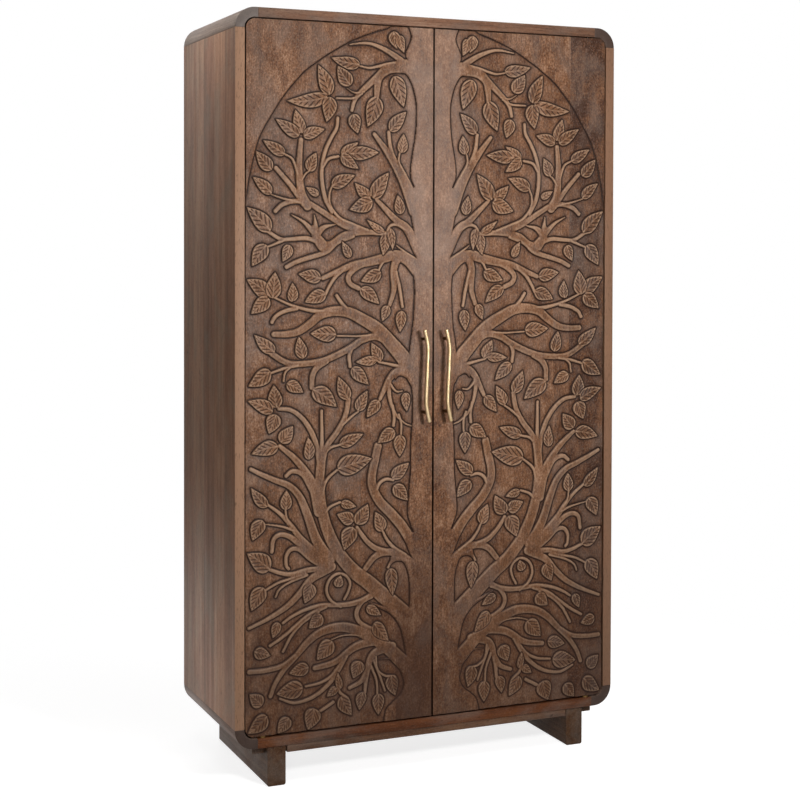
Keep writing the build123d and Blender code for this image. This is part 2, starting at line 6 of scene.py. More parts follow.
import logging
import math
from dataclasses import dataclass, field
from enum import Enum
from functools import partial
from typing import Any, Callable

import bmesh
import bpy
import numpy as np
from bpy.types import Material, Mesh, Node, NodeSocket, NodeTree, Object
from mathutils import Matrix, Vector

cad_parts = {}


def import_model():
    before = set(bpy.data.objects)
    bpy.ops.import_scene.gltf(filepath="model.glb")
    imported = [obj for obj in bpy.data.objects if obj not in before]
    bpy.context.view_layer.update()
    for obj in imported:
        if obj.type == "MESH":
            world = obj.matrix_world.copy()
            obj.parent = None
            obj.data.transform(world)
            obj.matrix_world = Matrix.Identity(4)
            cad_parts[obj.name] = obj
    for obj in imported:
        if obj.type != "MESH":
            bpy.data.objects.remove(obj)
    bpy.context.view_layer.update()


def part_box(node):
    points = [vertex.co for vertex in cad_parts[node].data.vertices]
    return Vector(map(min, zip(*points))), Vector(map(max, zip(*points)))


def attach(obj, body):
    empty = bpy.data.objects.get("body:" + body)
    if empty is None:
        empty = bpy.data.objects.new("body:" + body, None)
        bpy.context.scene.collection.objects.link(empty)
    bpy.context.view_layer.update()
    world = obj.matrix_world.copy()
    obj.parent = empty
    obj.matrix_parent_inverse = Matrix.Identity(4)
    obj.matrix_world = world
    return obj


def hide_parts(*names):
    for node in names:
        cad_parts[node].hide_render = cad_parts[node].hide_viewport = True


MM = 0.001
THOUSANDTH = 0.001
BAKE_MAP = "OFBake"
SOFT = "SMOOTHSTEP"
# where a measure starts and ends to count, and the share that it gives at each end
Fade = tuple[float, float, float, float]
Place = tuple[float, float, float]
Window = tuple[slice, slice]
log = logging.getLogger("carved_cabinet")

# Carving tables, the same for both doors: places in thousandths of a door's width
# from its outer edge and of its height from its top, widths in thousandths of its width
ARCH_SHARES = (
    (-16, 262), (0, 247), (13, 225), (44, 186), (78, 158), (149, 124), (207, 100), (297, 71), (375, 54),
    (438, 42), (547, 24), (665, 10), (750, 2), (775, -5),
)
TRUNK_EDGE_SHARES = (
    ((858, -5), (882, 14), (850, 38), (862, 49)),
    ((812, 66), (850, 67), (885, 82), (908, 105), (912, 125), (905, 155), (890, 180), (880, 200),
     (880, 216), (899, 229)),
    ((855, 240), (872, 258), (885, 276), (900, 298)),
    ((838, 291), (870, 305), (893, 320), (911, 333)),
    ((800, 331),),
    ((803, 350), (815, 340), (838, 336), (868, 342), (893, 354), (902, 375), (900, 400), (893, 430),
     (880, 453), (875, 472), (893, 484)),
    ((795, 497),),
    ((795, 507), (812, 502), (845, 502), (878, 512), (893, 533), (893, 565), (885, 595), (883, 640),
     (874, 670), (867, 700), (880, 715), (900, 729)),
    ((844, 734), (872, 755), (899, 771)),
    ((775, 760),),
    ((765, 776), (795, 770), (840, 771), (866, 784), (879, 803), (880, 826), (875, 848)),
    ((650, 825), (704, 834), (760, 843), (797, 853), (829, 868), (848, 889), (860, 908)),
    ((705, 910), (766, 911), (813, 922), (840, 938), (848, 951), (829, 964), (782, 975), (750, 985),
     (735, 1005)),
)
# each limb: width at its root, width at its tip, then the points of its middle line
LIMB_SHARES = (
    (40, 8, ((880, 60), (800, 44), (720, 32), (640, 26), (545, 29))),
    (26, 10, ((840, 52), (760, 54), (700, 58), (650, 61), (598, 59))),
    (70, 30, ((850, 56), (760, 60), (705, 72), (693, 88), (690, 102))),
    (40, 20, ((720, 66), (650, 84), (600, 97), (570, 108), (556, 122))),
    (14, 12, ((610, 98), (560, 105), (475, 106))),
    (14, 4, ((620, 95), (570, 97), (527, 91))),
    (50, 26, ((320, 258), (288, 240), (277, 210), (280, 185), (286, 166))),
    (26, 20, ((450, 266), (412, 246), (396, 222), (398, 200), (415, 180), (445, 162), (474, 148),
        (480, 134))),
    (20, 16, ((398, 204), (430, 192), (482, 188))),
    (22, 12, ((290, 232), (262, 207), (240, 193), (204, 187))),
    (30, 24, ((300, 256), (235, 231), (155, 206))),
    (20, 8, ((290, 254), (200, 249), (130, 243))),
    (16, 10, ((285, 224), (308, 214), (330, 209))),
    (36, 24, ((620, 294), (520, 286), (450, 275), (380, 263), (320, 254), (250, 252), (190, 257),
        (153, 266))),
    (24, 12, ((640, 293), (560, 284), (490, 275), (442, 258), (436, 242), (452, 229))),
    (26, 40, ((745, 297), (660, 295), (580, 296), (510, 300), (450, 312), (395, 314))),
    (60, 40, ((400, 314), (370, 303), (355, 290))),
    (36, 6, ((365, 299), (300, 281), (236, 271))),
    (40, 6, ((362, 296), (362, 284), (356, 271))),
    (40, 6, ((372, 297), (410, 288), (470, 284))),
    (30, 24, ((560, 300), (480, 309), (420, 323), (330, 331), (262, 337), (212, 344))),
    (26, 20, ((400, 312), (320, 304), (240, 305), (180, 305), (112, 294))),
    (20, 12, ((200, 306), (150, 312), (112, 316))),
    (80, 22, ((905, 262), (850, 226), (800, 201), (745, 179), (678, 155))),
    (26, 22, ((805, 200), (768, 176), (756, 152))),
    (20, 12, ((845, 212), (812, 194), (816, 181))),
    (60, 22, ((925, 322), (862, 291), (800, 278), (740, 262), (692, 249))),
    (24, 14, ((860, 292), (805, 284), (765, 286), (742, 297))),
    (24, 8, ((915, 336), (860, 326), (800, 314))),
    (70, 24, ((930, 354), (860, 334), (790, 328), (720, 333), (640, 338), (560, 342), (480, 351),
        (402, 360))),
    (24, 18, ((520, 346), (470, 358), (436, 372), (416, 383))),
    (34, 26, ((650, 337), (585, 345), (540, 357), (548, 368), (594, 375))),
    (44, 24, ((800, 332), (784, 350), (786, 378), (764, 399))),
    (24, 18, ((795, 352), (818, 376), (834, 402))),
    (22, 14, ((760, 330), (722, 339), (705, 348))),
    (90, 30, ((925, 512), (850, 480), (780, 457), (700, 434), (620, 420), (540, 409), (460, 407),
        (390, 412), (340, 423), (280, 434), (220, 438), (147, 438))),
    (26, 20, ((590, 416), (530, 404), (500, 395), (476, 385))),
    (28, 12, ((480, 407), (380, 407), (300, 403), (230, 397), (150, 387))),
    (24, 22, ((265, 402), (200, 406), (155, 413), (136, 421))),
    (40, 30, ((800, 462), (700, 445), (620, 448), (560, 458), (480, 469), (400, 477), (320, 480),
        (240, 480), (190, 475), (130, 464))),
    (14, 10, ((710, 441), (600, 443), (478, 442))),
    (32, 20, ((650, 446), (575, 455), (545, 469), (548, 486))),
    (22, 14, ((270, 482), (200, 486), (130, 492))),
    (16, 12, ((245, 482), (206, 491), (196, 504))),
    (36, 28, ((420, 477), (372, 486), (348, 498), (345, 514))),
    (30, 12, ((910, 506), (840, 491), (770, 485), (703, 481))),
    (60, 22, ((930, 510), (870, 499), (810, 495), (765, 505), (738, 519), (712, 534))),
    (30, 8, ((760, 506), (764, 532), (795, 556), (845, 570), (884, 575))),
    (20, 20, ((780, 545), (790, 560), (786, 573))),
    (16, 14, ((815, 558), (828, 570), (828, 586))),
    (18, 8, ((765, 513), (800, 524), (835, 524))),
    (90, 46, ((900, 862), (800, 835), (720, 815), (650, 797), (570, 779), (490, 752), (430, 718),
        (398, 685), (388, 650), (395, 610))),
    (26, 18, ((395, 620), (398, 590), (396, 548))),
    (34, 22, ((392, 640), (380, 610), (362, 590), (335, 573), (290, 556), (235, 545), (172, 542))),
    (34, 28, ((396, 640), (408, 612), (430, 596), (478, 579), (515, 562), (532, 548), (540, 533))),
    (18, 12, ((505, 569), (560, 557), (592, 551))),
    (30, 14, ((392, 655), (405, 618), (435, 602), (495, 597))),
    (24, 14, ((395, 680), (408, 656), (430, 644), (478, 633))),
    (60, 24, ((385, 690), (350, 652), (310, 632), (250, 612), (178, 595))),
    (36, 22, ((350, 660), (300, 637), (245, 631), (210, 637))),
    (60, 22, ((440, 760), (370, 730), (320, 692), (280, 667), (225, 651), (160, 643), (90, 634),
        (28, 625))),
    (20, 14, ((400, 698), (440, 685), (495, 679))),
    (50, 16, ((450, 770), (360, 747), (285, 726), (232, 706), (180, 690), (116, 676))),
    (16, 12, ((240, 709), (214, 697), (206, 684))),
    (18, 8, ((255, 715), (190, 708), (105, 703))),
    (40, 22, ((430, 768), (350, 752), (290, 737), (230, 723), (180, 719), (146, 725), (136, 742))),
    (36, 18, ((420, 770), (340, 756), (280, 742), (236, 741), (212, 750), (212, 763), (224, 768))),
    (34, 20, ((430, 772), (330, 772), (240, 776), (180, 773), (126, 767))),
    (18, 14, ((310, 777), (220, 783), (165, 787), (108, 795))),
    (18, 12, ((320, 779), (230, 787), (175, 796), (156, 806))),
    (46, 18, ((440, 772), (345, 785), (290, 802), (230, 818), (160, 830), (90, 839), (18, 847))),
    (16, 12, ((420, 776), (355, 783), (318, 797))),
    (18, 16, ((500, 828), (450, 819), (424, 804), (438, 789), (480, 781), (525, 784), (550, 795),
        (540, 808), (520, 818))),
    (34, 16, ((690, 812), (620, 822), (540, 826), (460, 825), (390, 824), (310, 828), (240, 836),
        (195, 844))),
    (24, 18, ((420, 826), (330, 836), (255, 851), (190, 864), (128, 874))),
    (22, 16, ((380, 832), (300, 845), (240, 862), (195, 884))),
    (26, 24, ((665, 818), (620, 823), (586, 838), (600, 852), (650, 862), (690, 866))),
    (60, 44, ((930, 764), (845, 724), (780, 702), (715, 683), (675, 663), (668, 645), (685, 622),
        (701, 602))),
    (24, 16, ((680, 672), (708, 656), (745, 650), (785, 652))),
    (34, 22, ((790, 758), (700, 750), (650, 740), (612, 727), (588, 717))),
    (26, 14, ((850, 762), (790, 750), (750, 737), (726, 724))),
    (50, 30, ((930, 784), (850, 766), (790, 757), (730, 756), (680, 762), (634, 777))),
    (18, 14, ((840, 768), (785, 767), (758, 778))),
    (80, 30, ((890, 932), (790, 903), (730, 888), (660, 875), (590, 865), (520, 858), (450, 858),
        (385, 863), (330, 873), (280, 887), (235, 900))),
    (28, 26, ((260, 892), (190, 904), (110, 908), (20, 908))),
    (30, 24, ((260, 893), (200, 910), (155, 928), (130, 945))),
    (50, 28, ((720, 882), (640, 884), (580, 888), (530, 896), (490, 904), (440, 909), (363, 912))),
    (14, 8, ((660, 876), (580, 871), (510, 870), (452, 874))),
    (24, 14, ((530, 900), (490, 914), (450, 926), (390, 934), (315, 937))),
    (30, 16, ((520, 903), (480, 922), (440, 936), (380, 949), (320, 956), (250, 958), (180, 950))),
    (50, 22, ((780, 893), (700, 898), (665, 906), (645, 922), (612, 938), (550, 946))),
    (30, 20, ((655, 915), (640, 935), (632, 955))),
    (16, 14, ((665, 918), (695, 940), (700, 962))),
    (18, 14, ((680, 910), (715, 935), (742, 956))),
    (16, 14, ((690, 905), (700, 924), (740, 934), (780, 936))),
    (20, 20, ((460, 964), (395, 974))),
    (24, 14, ((480, 930), (495, 950), (540, 960))),
)
# each leaf: across and down at its stalk, across and down at its point, then its width
LEAF_SHARES = (
    (780, 7, 800, 32, 60), (812, 12, 840, 37, 50), (598, 57, 445, 49, 62), (548, 87, 478, 60, 74),
    (437, 102, 375, 60, 76), (425, 104, 212, 112, 70), (438, 104, 420, 140, 76), (695, 102, 640, 145, 88),
    (562, 127, 588, 155, 66), (785, 71, 838, 115, 84), (762, 150, 853, 121, 66), (826, 181, 838, 153, 56),
    (292, 157, 256, 124, 62), (275, 161, 153, 138, 60), (298, 161, 412, 150, 58), (202, 187, 88, 168, 56),
    (134, 209, 52, 183, 66), (134, 242, 35, 219, 56), (328, 210, 366, 183, 60), (500, 186, 592, 167, 50),
    (545, 184, 703, 181, 68), (498, 186, 592, 205, 56), (447, 230, 574, 214, 64),
    (380, 243, 311, 232, 38), (656, 246, 572, 225, 56), (670, 247, 757, 209, 76),
    (668, 250, 543, 263, 76), (822, 269, 806, 241, 56), (128, 294, 5, 261, 80), (106, 313, 32, 343, 76),
    (226, 313, 190, 337, 56), (548, 331, 504, 308, 44), (733, 295, 637, 277, 36),
    (736, 298, 725, 328, 58), (762, 289, 778, 321, 42), (118, 384, 5, 361, 76), (138, 388, 152, 351, 78),
    (122, 388, 28, 409, 72), (238, 393, 241, 366, 54), (392, 361, 272, 354, 66), (418, 382, 305, 394, 68),
    (716, 352, 605, 365, 66), (603, 375, 706, 398, 64), (752, 400, 722, 423, 50),
    (830, 408, 820, 439, 58), (474, 440, 335, 438, 76), (150, 463, 44, 438, 62), (300, 473, 275, 442, 62),
    (716, 480, 664, 453, 60), (694, 478, 577, 480, 48), (556, 488, 649, 513, 64), (128, 489, 14, 510, 76),
    (212, 507, 300, 521, 60), (162, 541, 145, 509, 72), (142, 546, 10, 530, 66), (158, 550, 120, 577, 76),
    (348, 517, 477, 543, 84), (540, 533, 485, 500, 66), (588, 550, 643, 521, 60),
    (706, 536, 638, 560, 60), (853, 526, 860, 554, 50), (168, 595, 30, 604, 72), (180, 590, 246, 567, 72),
    (328, 616, 325, 584, 56), (492, 597, 622, 583, 60), (480, 631, 668, 619, 100),
    (792, 580, 699, 597, 68), (820, 587, 820, 619, 66), (777, 649, 873, 628, 64),
    (788, 660, 866, 683, 68), (112, 679, 28, 651, 56), (208, 685, 212, 657, 60), (126, 767, 8, 742, 92),
    (88, 697, 36, 725, 72), (92, 791, 30, 823, 80), (345, 792, 308, 819, 70), (500, 680, 584, 687, 44),
    (568, 708, 479, 696, 66), (584, 712, 646, 684, 74), (568, 716, 518, 748, 84),
    (726, 725, 686, 696, 64), (772, 779, 783, 819, 66), (480, 800, 500, 783, 50),
    (680, 856, 762, 884, 66), (640, 832, 720, 846, 50), (330, 910, 226, 916, 66),
    (300, 938, 160, 943, 88), (455, 876, 372, 901, 84), (86, 957, 20, 939, 68), (112, 972, 12, 994, 78),
    (226, 978, 168, 999, 68), (358, 969, 325, 999, 86), (482, 943, 425, 955, 44),
    (500, 957, 560, 986, 70), (500, 946, 485, 922, 38), (606, 909, 568, 933, 74),
    (776, 934, 800, 965, 68), (705, 959, 706, 990, 64), (622, 954, 602, 980, 56),
    (400, 838, 330, 855, 70), (170, 842, 140, 864, 50), (45, 880, 130, 888, 60),
)


# Small helpers


def srgb(code: str, level: float = 1.0) -> tuple[float, float, float, float]:
    """Turn an sRGB hex colour into linear light.

    Args:
        code: Six hex digits after a hash sign.
        level: What the linear colour is multiplied by.

    Returns:
        Red, green, blue and alpha for a shader socket.
    """
    shares = [int(code[place:place + 2], 16) / 255 for place in (1, 3, 5)]
    red, green, blue = (
        level * (share / 12.92 if share <= 0.04045 else ((share + 0.055) / 1.055) ** 2.4) for share in shares
    )
    return red, green, blue, 1.0


def add_node(tree: NodeTree, kind: str, inputs: Any = (), **settings: Any) -> Node:
    """Add one node to a tree.

    Args:
        tree: The tree that gets the node.
        kind: The node's type. A word without Node in it is a shader node's.
        inputs: What goes in, in the order of the inputs in use, or by their names or numbers: a value, a
            socket, or a node, which gives the first output in use.
        settings: The node's own properties.

    Returns:
        The new node.
    """
    node = tree.nodes.new(kind if "Node" in kind else f"ShaderNode{kind}")
    for name, value in settings.items():
        setattr(node, name, value)
    named = isinstance(inputs, dict)
    sockets = node.inputs if named else [socket for socket in node.inputs if socket.enabled]
    for key, value in inputs.items() if named else enumerate(inputs):
        if isinstance(value, Node):
            value = next(output for output in value.outputs if output.enabled)
        if isinstance(value, NodeSocket):
            tree.links.new(value, sockets[key])
        else:
            sockets[key].default_value = value
    return node


def new_material(name: str) -> tuple[Material, Callable]:
    """Make an empty node material.

    Args:
        name: The finish that it stands for.

    Returns:
        The material, and add_node for its tree.
    """
    material = bpy.data.materials.new(name)
    material.use_nodes = True
    material.node_tree.nodes.clear()
    return material, partial(add_node, material.node_tree)


def close_material(add: Callable, relief: tuple[Any, float, float], sockets: dict[str, Any]) -> None:
    """Join a material's parts in one shader.

    Args:
        add: add_node for the material's tree.
        relief: The fine relief's height, its strength, and its depth in millimetres.
        sockets: What goes into the shader, by the names of its inputs.
    """
    height, strength, depth = relief
    bump = add("Bump", {"Strength": strength, "Distance": depth * MM, "Height": height})
    add("OutputMaterial", (add("BsdfPrincipled", {**sockets, "Normal": bump}),))


def new_object(name: str, mesh: Mesh) -> Object:
    """Put a mesh into the scene as a piece at the origin, with its place in the mesh."""
    piece = bpy.data.objects.new(name, mesh)
    bpy.context.scene.collection.objects.link(piece)
    return piece


def dress(piece: Object, material: Material) -> None:
    """Give a piece one material."""
    piece.data.materials.clear()
    piece.data.materials.append(material)


def set_on(piece: Object, body: str, stands_for: str = "") -> None:
    """Tell the frame where a piece belongs.

    Args:
        piece: The piece.
        body: The body that it rides on.
        stands_for: The node that it replaces, if any.
    """
    if stands_for:
        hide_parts(stands_for)
    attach(piece, body)
    log.info("%s: %d faces", piece.name, len(piece.data.polygons))


def baked_mesh(guide: Object) -> Mesh:
    """Return the plain mesh that a guide's modifiers make, and remove the guide."""
    bpy.context.view_layer.update()
    mesh = bpy.data.meshes.new_from_object(guide.evaluated_get(bpy.context.evaluated_depsgraph_get()))
    bpy.data.objects.remove(guide)
    return mesh


def sized_tree(name: str, sizes: dict[str, float | int]) -> tuple[NodeTree, Any]:
    """Start a Geometry Nodes tree with named inputs.

    Args:
        name: The tree's name.
        sizes: Its inputs and their values, a whole number for an integer input.

    Returns:
        The tree, and the outputs of its input node.
    """
    tree = bpy.data.node_groups.new(name, "GeometryNodeTree")
    for way in ("INPUT", "OUTPUT"):
        tree.interface.new_socket("Geometry", in_out=way, socket_type="NodeSocketGeometry")
    for label, value in sizes.items():
        kind = "NodeSocketInt" if isinstance(value, int) else "NodeSocketFloat"
        tree.interface.new_socket(label, in_out="INPUT", socket_type=kind).default_value = value
    return tree, add_node(tree, "NodeGroupInput").outputs


def grown_mesh(name: str, mesh: Mesh, tree: NodeTree, sizes: dict[str, float | int]) -> Mesh:
    """Run a Geometry Nodes tree on a guide.

    Args:
        name: The guide's name.
        mesh: The points or lines that the tree starts from.
        tree: The tree.
        sizes: The values of its inputs.

    Returns:
        What the tree makes, as a plain mesh.
    """
    guide = new_object(name, mesh)
    modifier = guide.modifiers.new(name, "NODES")
    modifier.node_group = tree
    for socket in tree.interface.items_tree:
        if socket.in_out == "INPUT" and socket.name in sizes:
            modifier[socket.identifier] = sizes[socket.name]
    return baked_mesh(guide)


def read_mesh(items: Any, label: str, kind: type, width: int = 1) -> np.ndarray:
    """Read one property of all of a mesh's items.

    Args:
        items: The mesh's corners, faces or points.
        label: The property.
        kind: The numbers' type.
        width: How many numbers each item has.

    Returns:
        The values, one row for each item where it has several.
    """
    values = np.zeros(len(items) * width, kind)
    items.foreach_get(label, values)
    return values.reshape(-1, width) if width > 1 else values


def smooth_step(low: float, high: float, value: np.ndarray) -> np.ndarray:
    """Return a soft step from 0 at low to 1 at high."""
    share = np.clip((value - low) / (high - low), 0.0, 1.0)
    return share * share * (3.0 - 2.0 * share)


def bell(distance: np.ndarray, width: float) -> np.ndarray:
    """Return a soft bump: 1 at no distance, and a third of it at the width."""
    return np.exp(-((distance / width) ** 2))


def round_fall(share: np.ndarray) -> np.ndarray:
    """Return how far a quarter round has fallen, as a share of its radius."""
    return 1 - np.sqrt(np.maximum(1 - share**2, 0.0))


def smooth_line(points: Any, step: float) -> np.ndarray:
    """Run a smooth line through given points.

    Args:
        points: Places in millimetres.
        step: Distance between the points that are returned.

    Returns:
        Close points along the line, one row each.
    """
    given = np.asarray(points, float)
    if len(given) < 2:
        return given
    padded = np.vstack([2 * given[0] - given[1], given, 2 * given[-1] - given[-2]])
    found = []
    for index in range(1, len(padded) - 2):
        before, start, end, after = padded[index - 1:index + 3]
        count = max(2, int(np.hypot(*(end - start)) / step))
        share = np.linspace(0.0, 1.0, count, endpoint=False)[:, None]
        found.append(0.5 * (
            2 * start + (end - before) * share
            + (2 * before - 5 * start + 4 * end - after) * share**2
            + (3 * start - before - 3 * end + after) * share**3
        ))
    return np.vstack([*found, given[-1:]])


def line_distance(
    across: np.ndarray, down: np.ndarray, line: np.ndarray, reach: np.ndarray
) -> tuple[np.ndarray, np.ndarray, np.ndarray]:
    """Measure how far places lie outside a band drawn round a line.

    Args:
        across: The places' distance across the door.
        down: The places' distance down the door.
        line: Points along the line.
        reach: Half the band's width at each point.

    Returns:
        Distance outside the band, below 0 within it; half the band's width there; and the share of the
        line's run at the nearest point.
    """
    start, run = line[:-1], line[1:] - line[:-1]
    length_squared = np.maximum((run**2).sum(axis=1), 1e-9)
    from_u, from_v = across[..., None] - start[:, 0], down[..., None] - start[:, 1]
    share = np.clip((from_u * run[:, 0] + from_v * run[:, 1]) / length_squared, 0.0, 1.0)
    half = reach[:-1] + (reach[1:] - reach[:-1]) * share
    signed = np.hypot(from_u - share * run[:, 0], from_v - share * run[:, 1]) - half
    nearest = signed.argmin(axis=-1)[..., None]
    place = (nearest + np.take_along_axis(share, nearest, -1)) / len(run)
    return (
        np.take_along_axis(signed, nearest, -1)[..., 0],
        np.take_along_axis(half, nearest, -1)[..., 0],
        place[..., 0],
    )


def blur(field_map: np.ndarray, cells: float) -> np.ndarray:
    """Return a map softened evenly over so many cells."""
    reach = max(1, int(3 * cells))
    weights = np.exp(-0.5 * (np.arange(-reach, reach + 1) / cells) ** 2)
    weights /= weights.sum()
    for axis in (0, 1):
        wide = np.pad(field_map, [(reach, reach) if axis == k else (0, 0) for k in (0, 1)], mode="edge")
        size = field_map.shape[axis]
        field_map = sum(
            weight * np.take(wide, np.arange(index, index + size), axis=axis)
            for index, weight in enumerate(weights)
        )
    return field_map


class Hand(Enum):
    """The side of the cabinet that a piece belongs to, as seen from the front."""

    LEFT = -1
    RIGHT = 1

    @property
    def word(self) -> str:
        """The hand in the names of nodes and bodies."""
        return self.name.lower()


class Grain(Enum):
    """Which way the wood's length runs."""

    ACROSS = 0
    DEEP = 1
    UPRIGHT = 2

    def scales(self, breadth: float, length: float) -> Place:
        """Turn the real size of a mark in the wood into pattern scales.

        Args:
            breadth: Its size across the grain in millimetres.
            length: Its size along the grain in millimetres.

        Returns:
            Marks in a metre along X, Y and Z.
        """
        scales = [1 / (breadth * MM)] * 3
        scales[self.value] = 1 / (length * MM)
        return scales[0], scales[1], scales[2]


# Finishes


@dataclass(frozen=True)
class StainedMango:
    """Solid mango wood, planed, brushed with a brown stain and waxed.

    The stain lies darker in pores and cuts, each glued board takes it a little differently, and wax leaves
    a soft broad sheen. A mark in the wood is its size across and along the grain and its share in the tone.
    Fades by place are metres, as Object coordinates are.
    """

    name: str
    grain: Grain
    shadow: str
    body: str
    light: str
    board_axis: int = 0
    board_span: tuple[float, float] = (-480.0, 480.0)
    board_tones: tuple[tuple[float, float], ...] = ()
    board_shift: Place = (5.1, 3.7, 9.3)
    board_share: float = 0.75
    ramp_ends: tuple[float, float] = (0.14, 0.86)
    roughness: float = 0.46
    cloud: Place = (110.0, 240.0, 0.5)
    streak: Place = (11.0, 330.0, 0.75)
    fibre: Place = (2.8, 60.0, 0.55)
    speck: Place = (4.0, 9.0, 0.25)
    drift_tone: str = "#6d635b"
    drift_fade: Fade = (0.42, 0.68, 0.0, 0.35)
    bloom_tone: str = "#a18f81"
    bloom_fade: Fade = (0.5, 0.74, 0.0, 0.15)
    end_tone: str = ""
    end_fade: Fade = (0.6, 0.9, 0.0, 0.8)
    pore_fade: Fade = (0.60, 0.72, 0.0, 0.5)
    knot_fade: Fade = (0.70, 0.80, 0.0, 0.55)
    pore_level: float = 0.55
    pore_height: Fade = (0.58, 0.74, 1.0, 0.0)

    def board_tone(self, add: Callable, place: Any) -> Node:
        """Draw the glued boards: one tone from each joint to the next.

        Args:
            add: add_node for the material's tree.
            place: Object coordinates split into X, Y and Z.

        Returns:
            A tone from 0 to 1, 0.5 for a board of middle tone.
        """
        low, high = self.board_span
        share = add("MapRange", (place[self.board_axis], low * MM, high * MM))
        ramp = add("ValToRGB", (share,))
        ramp.color_ramp.interpolation = "CONSTANT"
        stops = ramp.color_ramp.elements
        stops.remove(stops[1])
        for index, (joint, tone) in enumerate(self.board_tones):
            position = max(0.0, (joint - low) / (high - low))
            stop = stops.new(position) if index else stops[0]
            stop.position, stop.color = position, (tone, tone, tone, 1.0)
        return ramp

    def end_share(self, add: Callable) -> Node:
        """Say which faces are a piece's ends, in its own frame, so that an opened door keeps its tones."""
        facing = add("NewGeometry").outputs["True Normal"]
        own = add("VectorTransform", (facing,), vector_type="NORMAL",
                  convert_from="WORLD", convert_to="OBJECT")
        turned = add("Math", (add("SeparateXYZ", (own,)).outputs["Y"],), operation="ABSOLUTE")
        return add("MapRange", (turned, *self.end_fade))

    def carving(self, add: Callable, place: Any, patch: Node, height: Node) -> tuple[list, Node]:
        """Return the layers of colour that carving adds, none on plain wood, and the fine relief with it."""
        return [], height

    def build(self) -> Material:
        """Return the wood as a node material."""
        material, add = new_material(self.name)
        here: Any = add("TexCoord").outputs["Object"]
        place = add("SeparateXYZ", (here,)).outputs
        boards = []
        if self.board_tones:
            tone = self.board_tone(add, place)
            boards.append((tone, self.board_share))
            # each board is another part of the tree, so its figure is moved along and across
            here = add("VectorMath", (tone, self.board_shift, here), operation="MULTIPLY_ADD")
        marks, swings = {}, []
        for mark, (breadth, length, share), detail, roughness, bend in (
            ("cloud", self.cloud, 3.0, 0.55, 0.6), ("streak", self.streak, 4.0, 0.6, 0.5),
            ("fibre", self.fibre, 3.0, 0.6, 0.2), ("speck", self.speck, 2.0, 0.6, 0.0),
            ("pore", (1.3, 11.0, 0.0), 1.0, 0.5, 0.0), ("knot", (24.0, 34.0, 0.0), 2.0, 0.5, 0.6),
            ("drift", (95.0, 170.0, 0.0), 3.0, 0.6, 0.8), ("bloom", (3.2, 5.0, 0.0), 3.0, 0.65, 0.0),
        ):
            scaled = add("Mapping", {"Vector": here, "Scale": self.grain.scales(breadth, length)})
            marks[mark] = add("TexNoise", {
                "Vector": scaled, "Scale": 1.0, "Detail": detail, "Roughness": roughness, "Distortion": bend,
            })
            if share:
                swings.append((marks[mark], share))
        value: Any = 0.5
        for pattern, share in swings + boards:
            swing = add("Math", (pattern, 0.5), operation="SUBTRACT")
            value = add("Math", (swing, share, value), operation="MULTIPLY_ADD")
        colour = add("ValToRGB", (value,))
        stops = colour.color_ramp.elements
        for stop, position, tone in zip(stops, self.ramp_ends, (self.shadow, self.light)):
            stop.position, stop.color = position, srgb(tone)
        stops.new(0.5).color = srgb(self.body)
        # in broad patches the stain dried greyer, and dry wax in the grain shows as pale grey flecks
        grey = add("MapRange", (marks["drift"], *self.drift_fade), interpolation_type=SOFT)
        dry = add("MapRange", (marks["bloom"], *self.bloom_fade))
        layers = [(grey, self.drift_tone, 1.0), (dry, self.bloom_tone, 1.0)]
        if self.end_tone:
            layers.append((self.end_share(add), self.end_tone, 1.0))
        # stain gathers in open pores and in small dark flecks
        for mark, fade in (("pore", self.pore_fade), ("knot", self.knot_fade)):
            dark = add("MapRange", (marks[mark], *fade), interpolation_type=SOFT)
            layers.append((dark, self.shadow, self.pore_level))
        more, height = self.carving(add, place, marks["drift"], marks["fibre"])
        for share, tone, level in layers + more:
            colour = add("Mix", (share, colour, srgb(tone, level)), data_type="RGBA")
        rough = add("MapRange", (marks["streak"], 0.3, 0.7, self.roughness + 0.06, self.roughness - 0.05))
        pores = add("MapRange", (marks["pore"], *self.pore_height))
        height = add("Math", (pores, 1.5, height), operation="MULTIPLY_ADD")
        close_material(add, (height, 0.5, 0.12), {
            "Base Color": colour, "Roughness": rough, "Specular IOR Level": 0.12,
        })
        return material


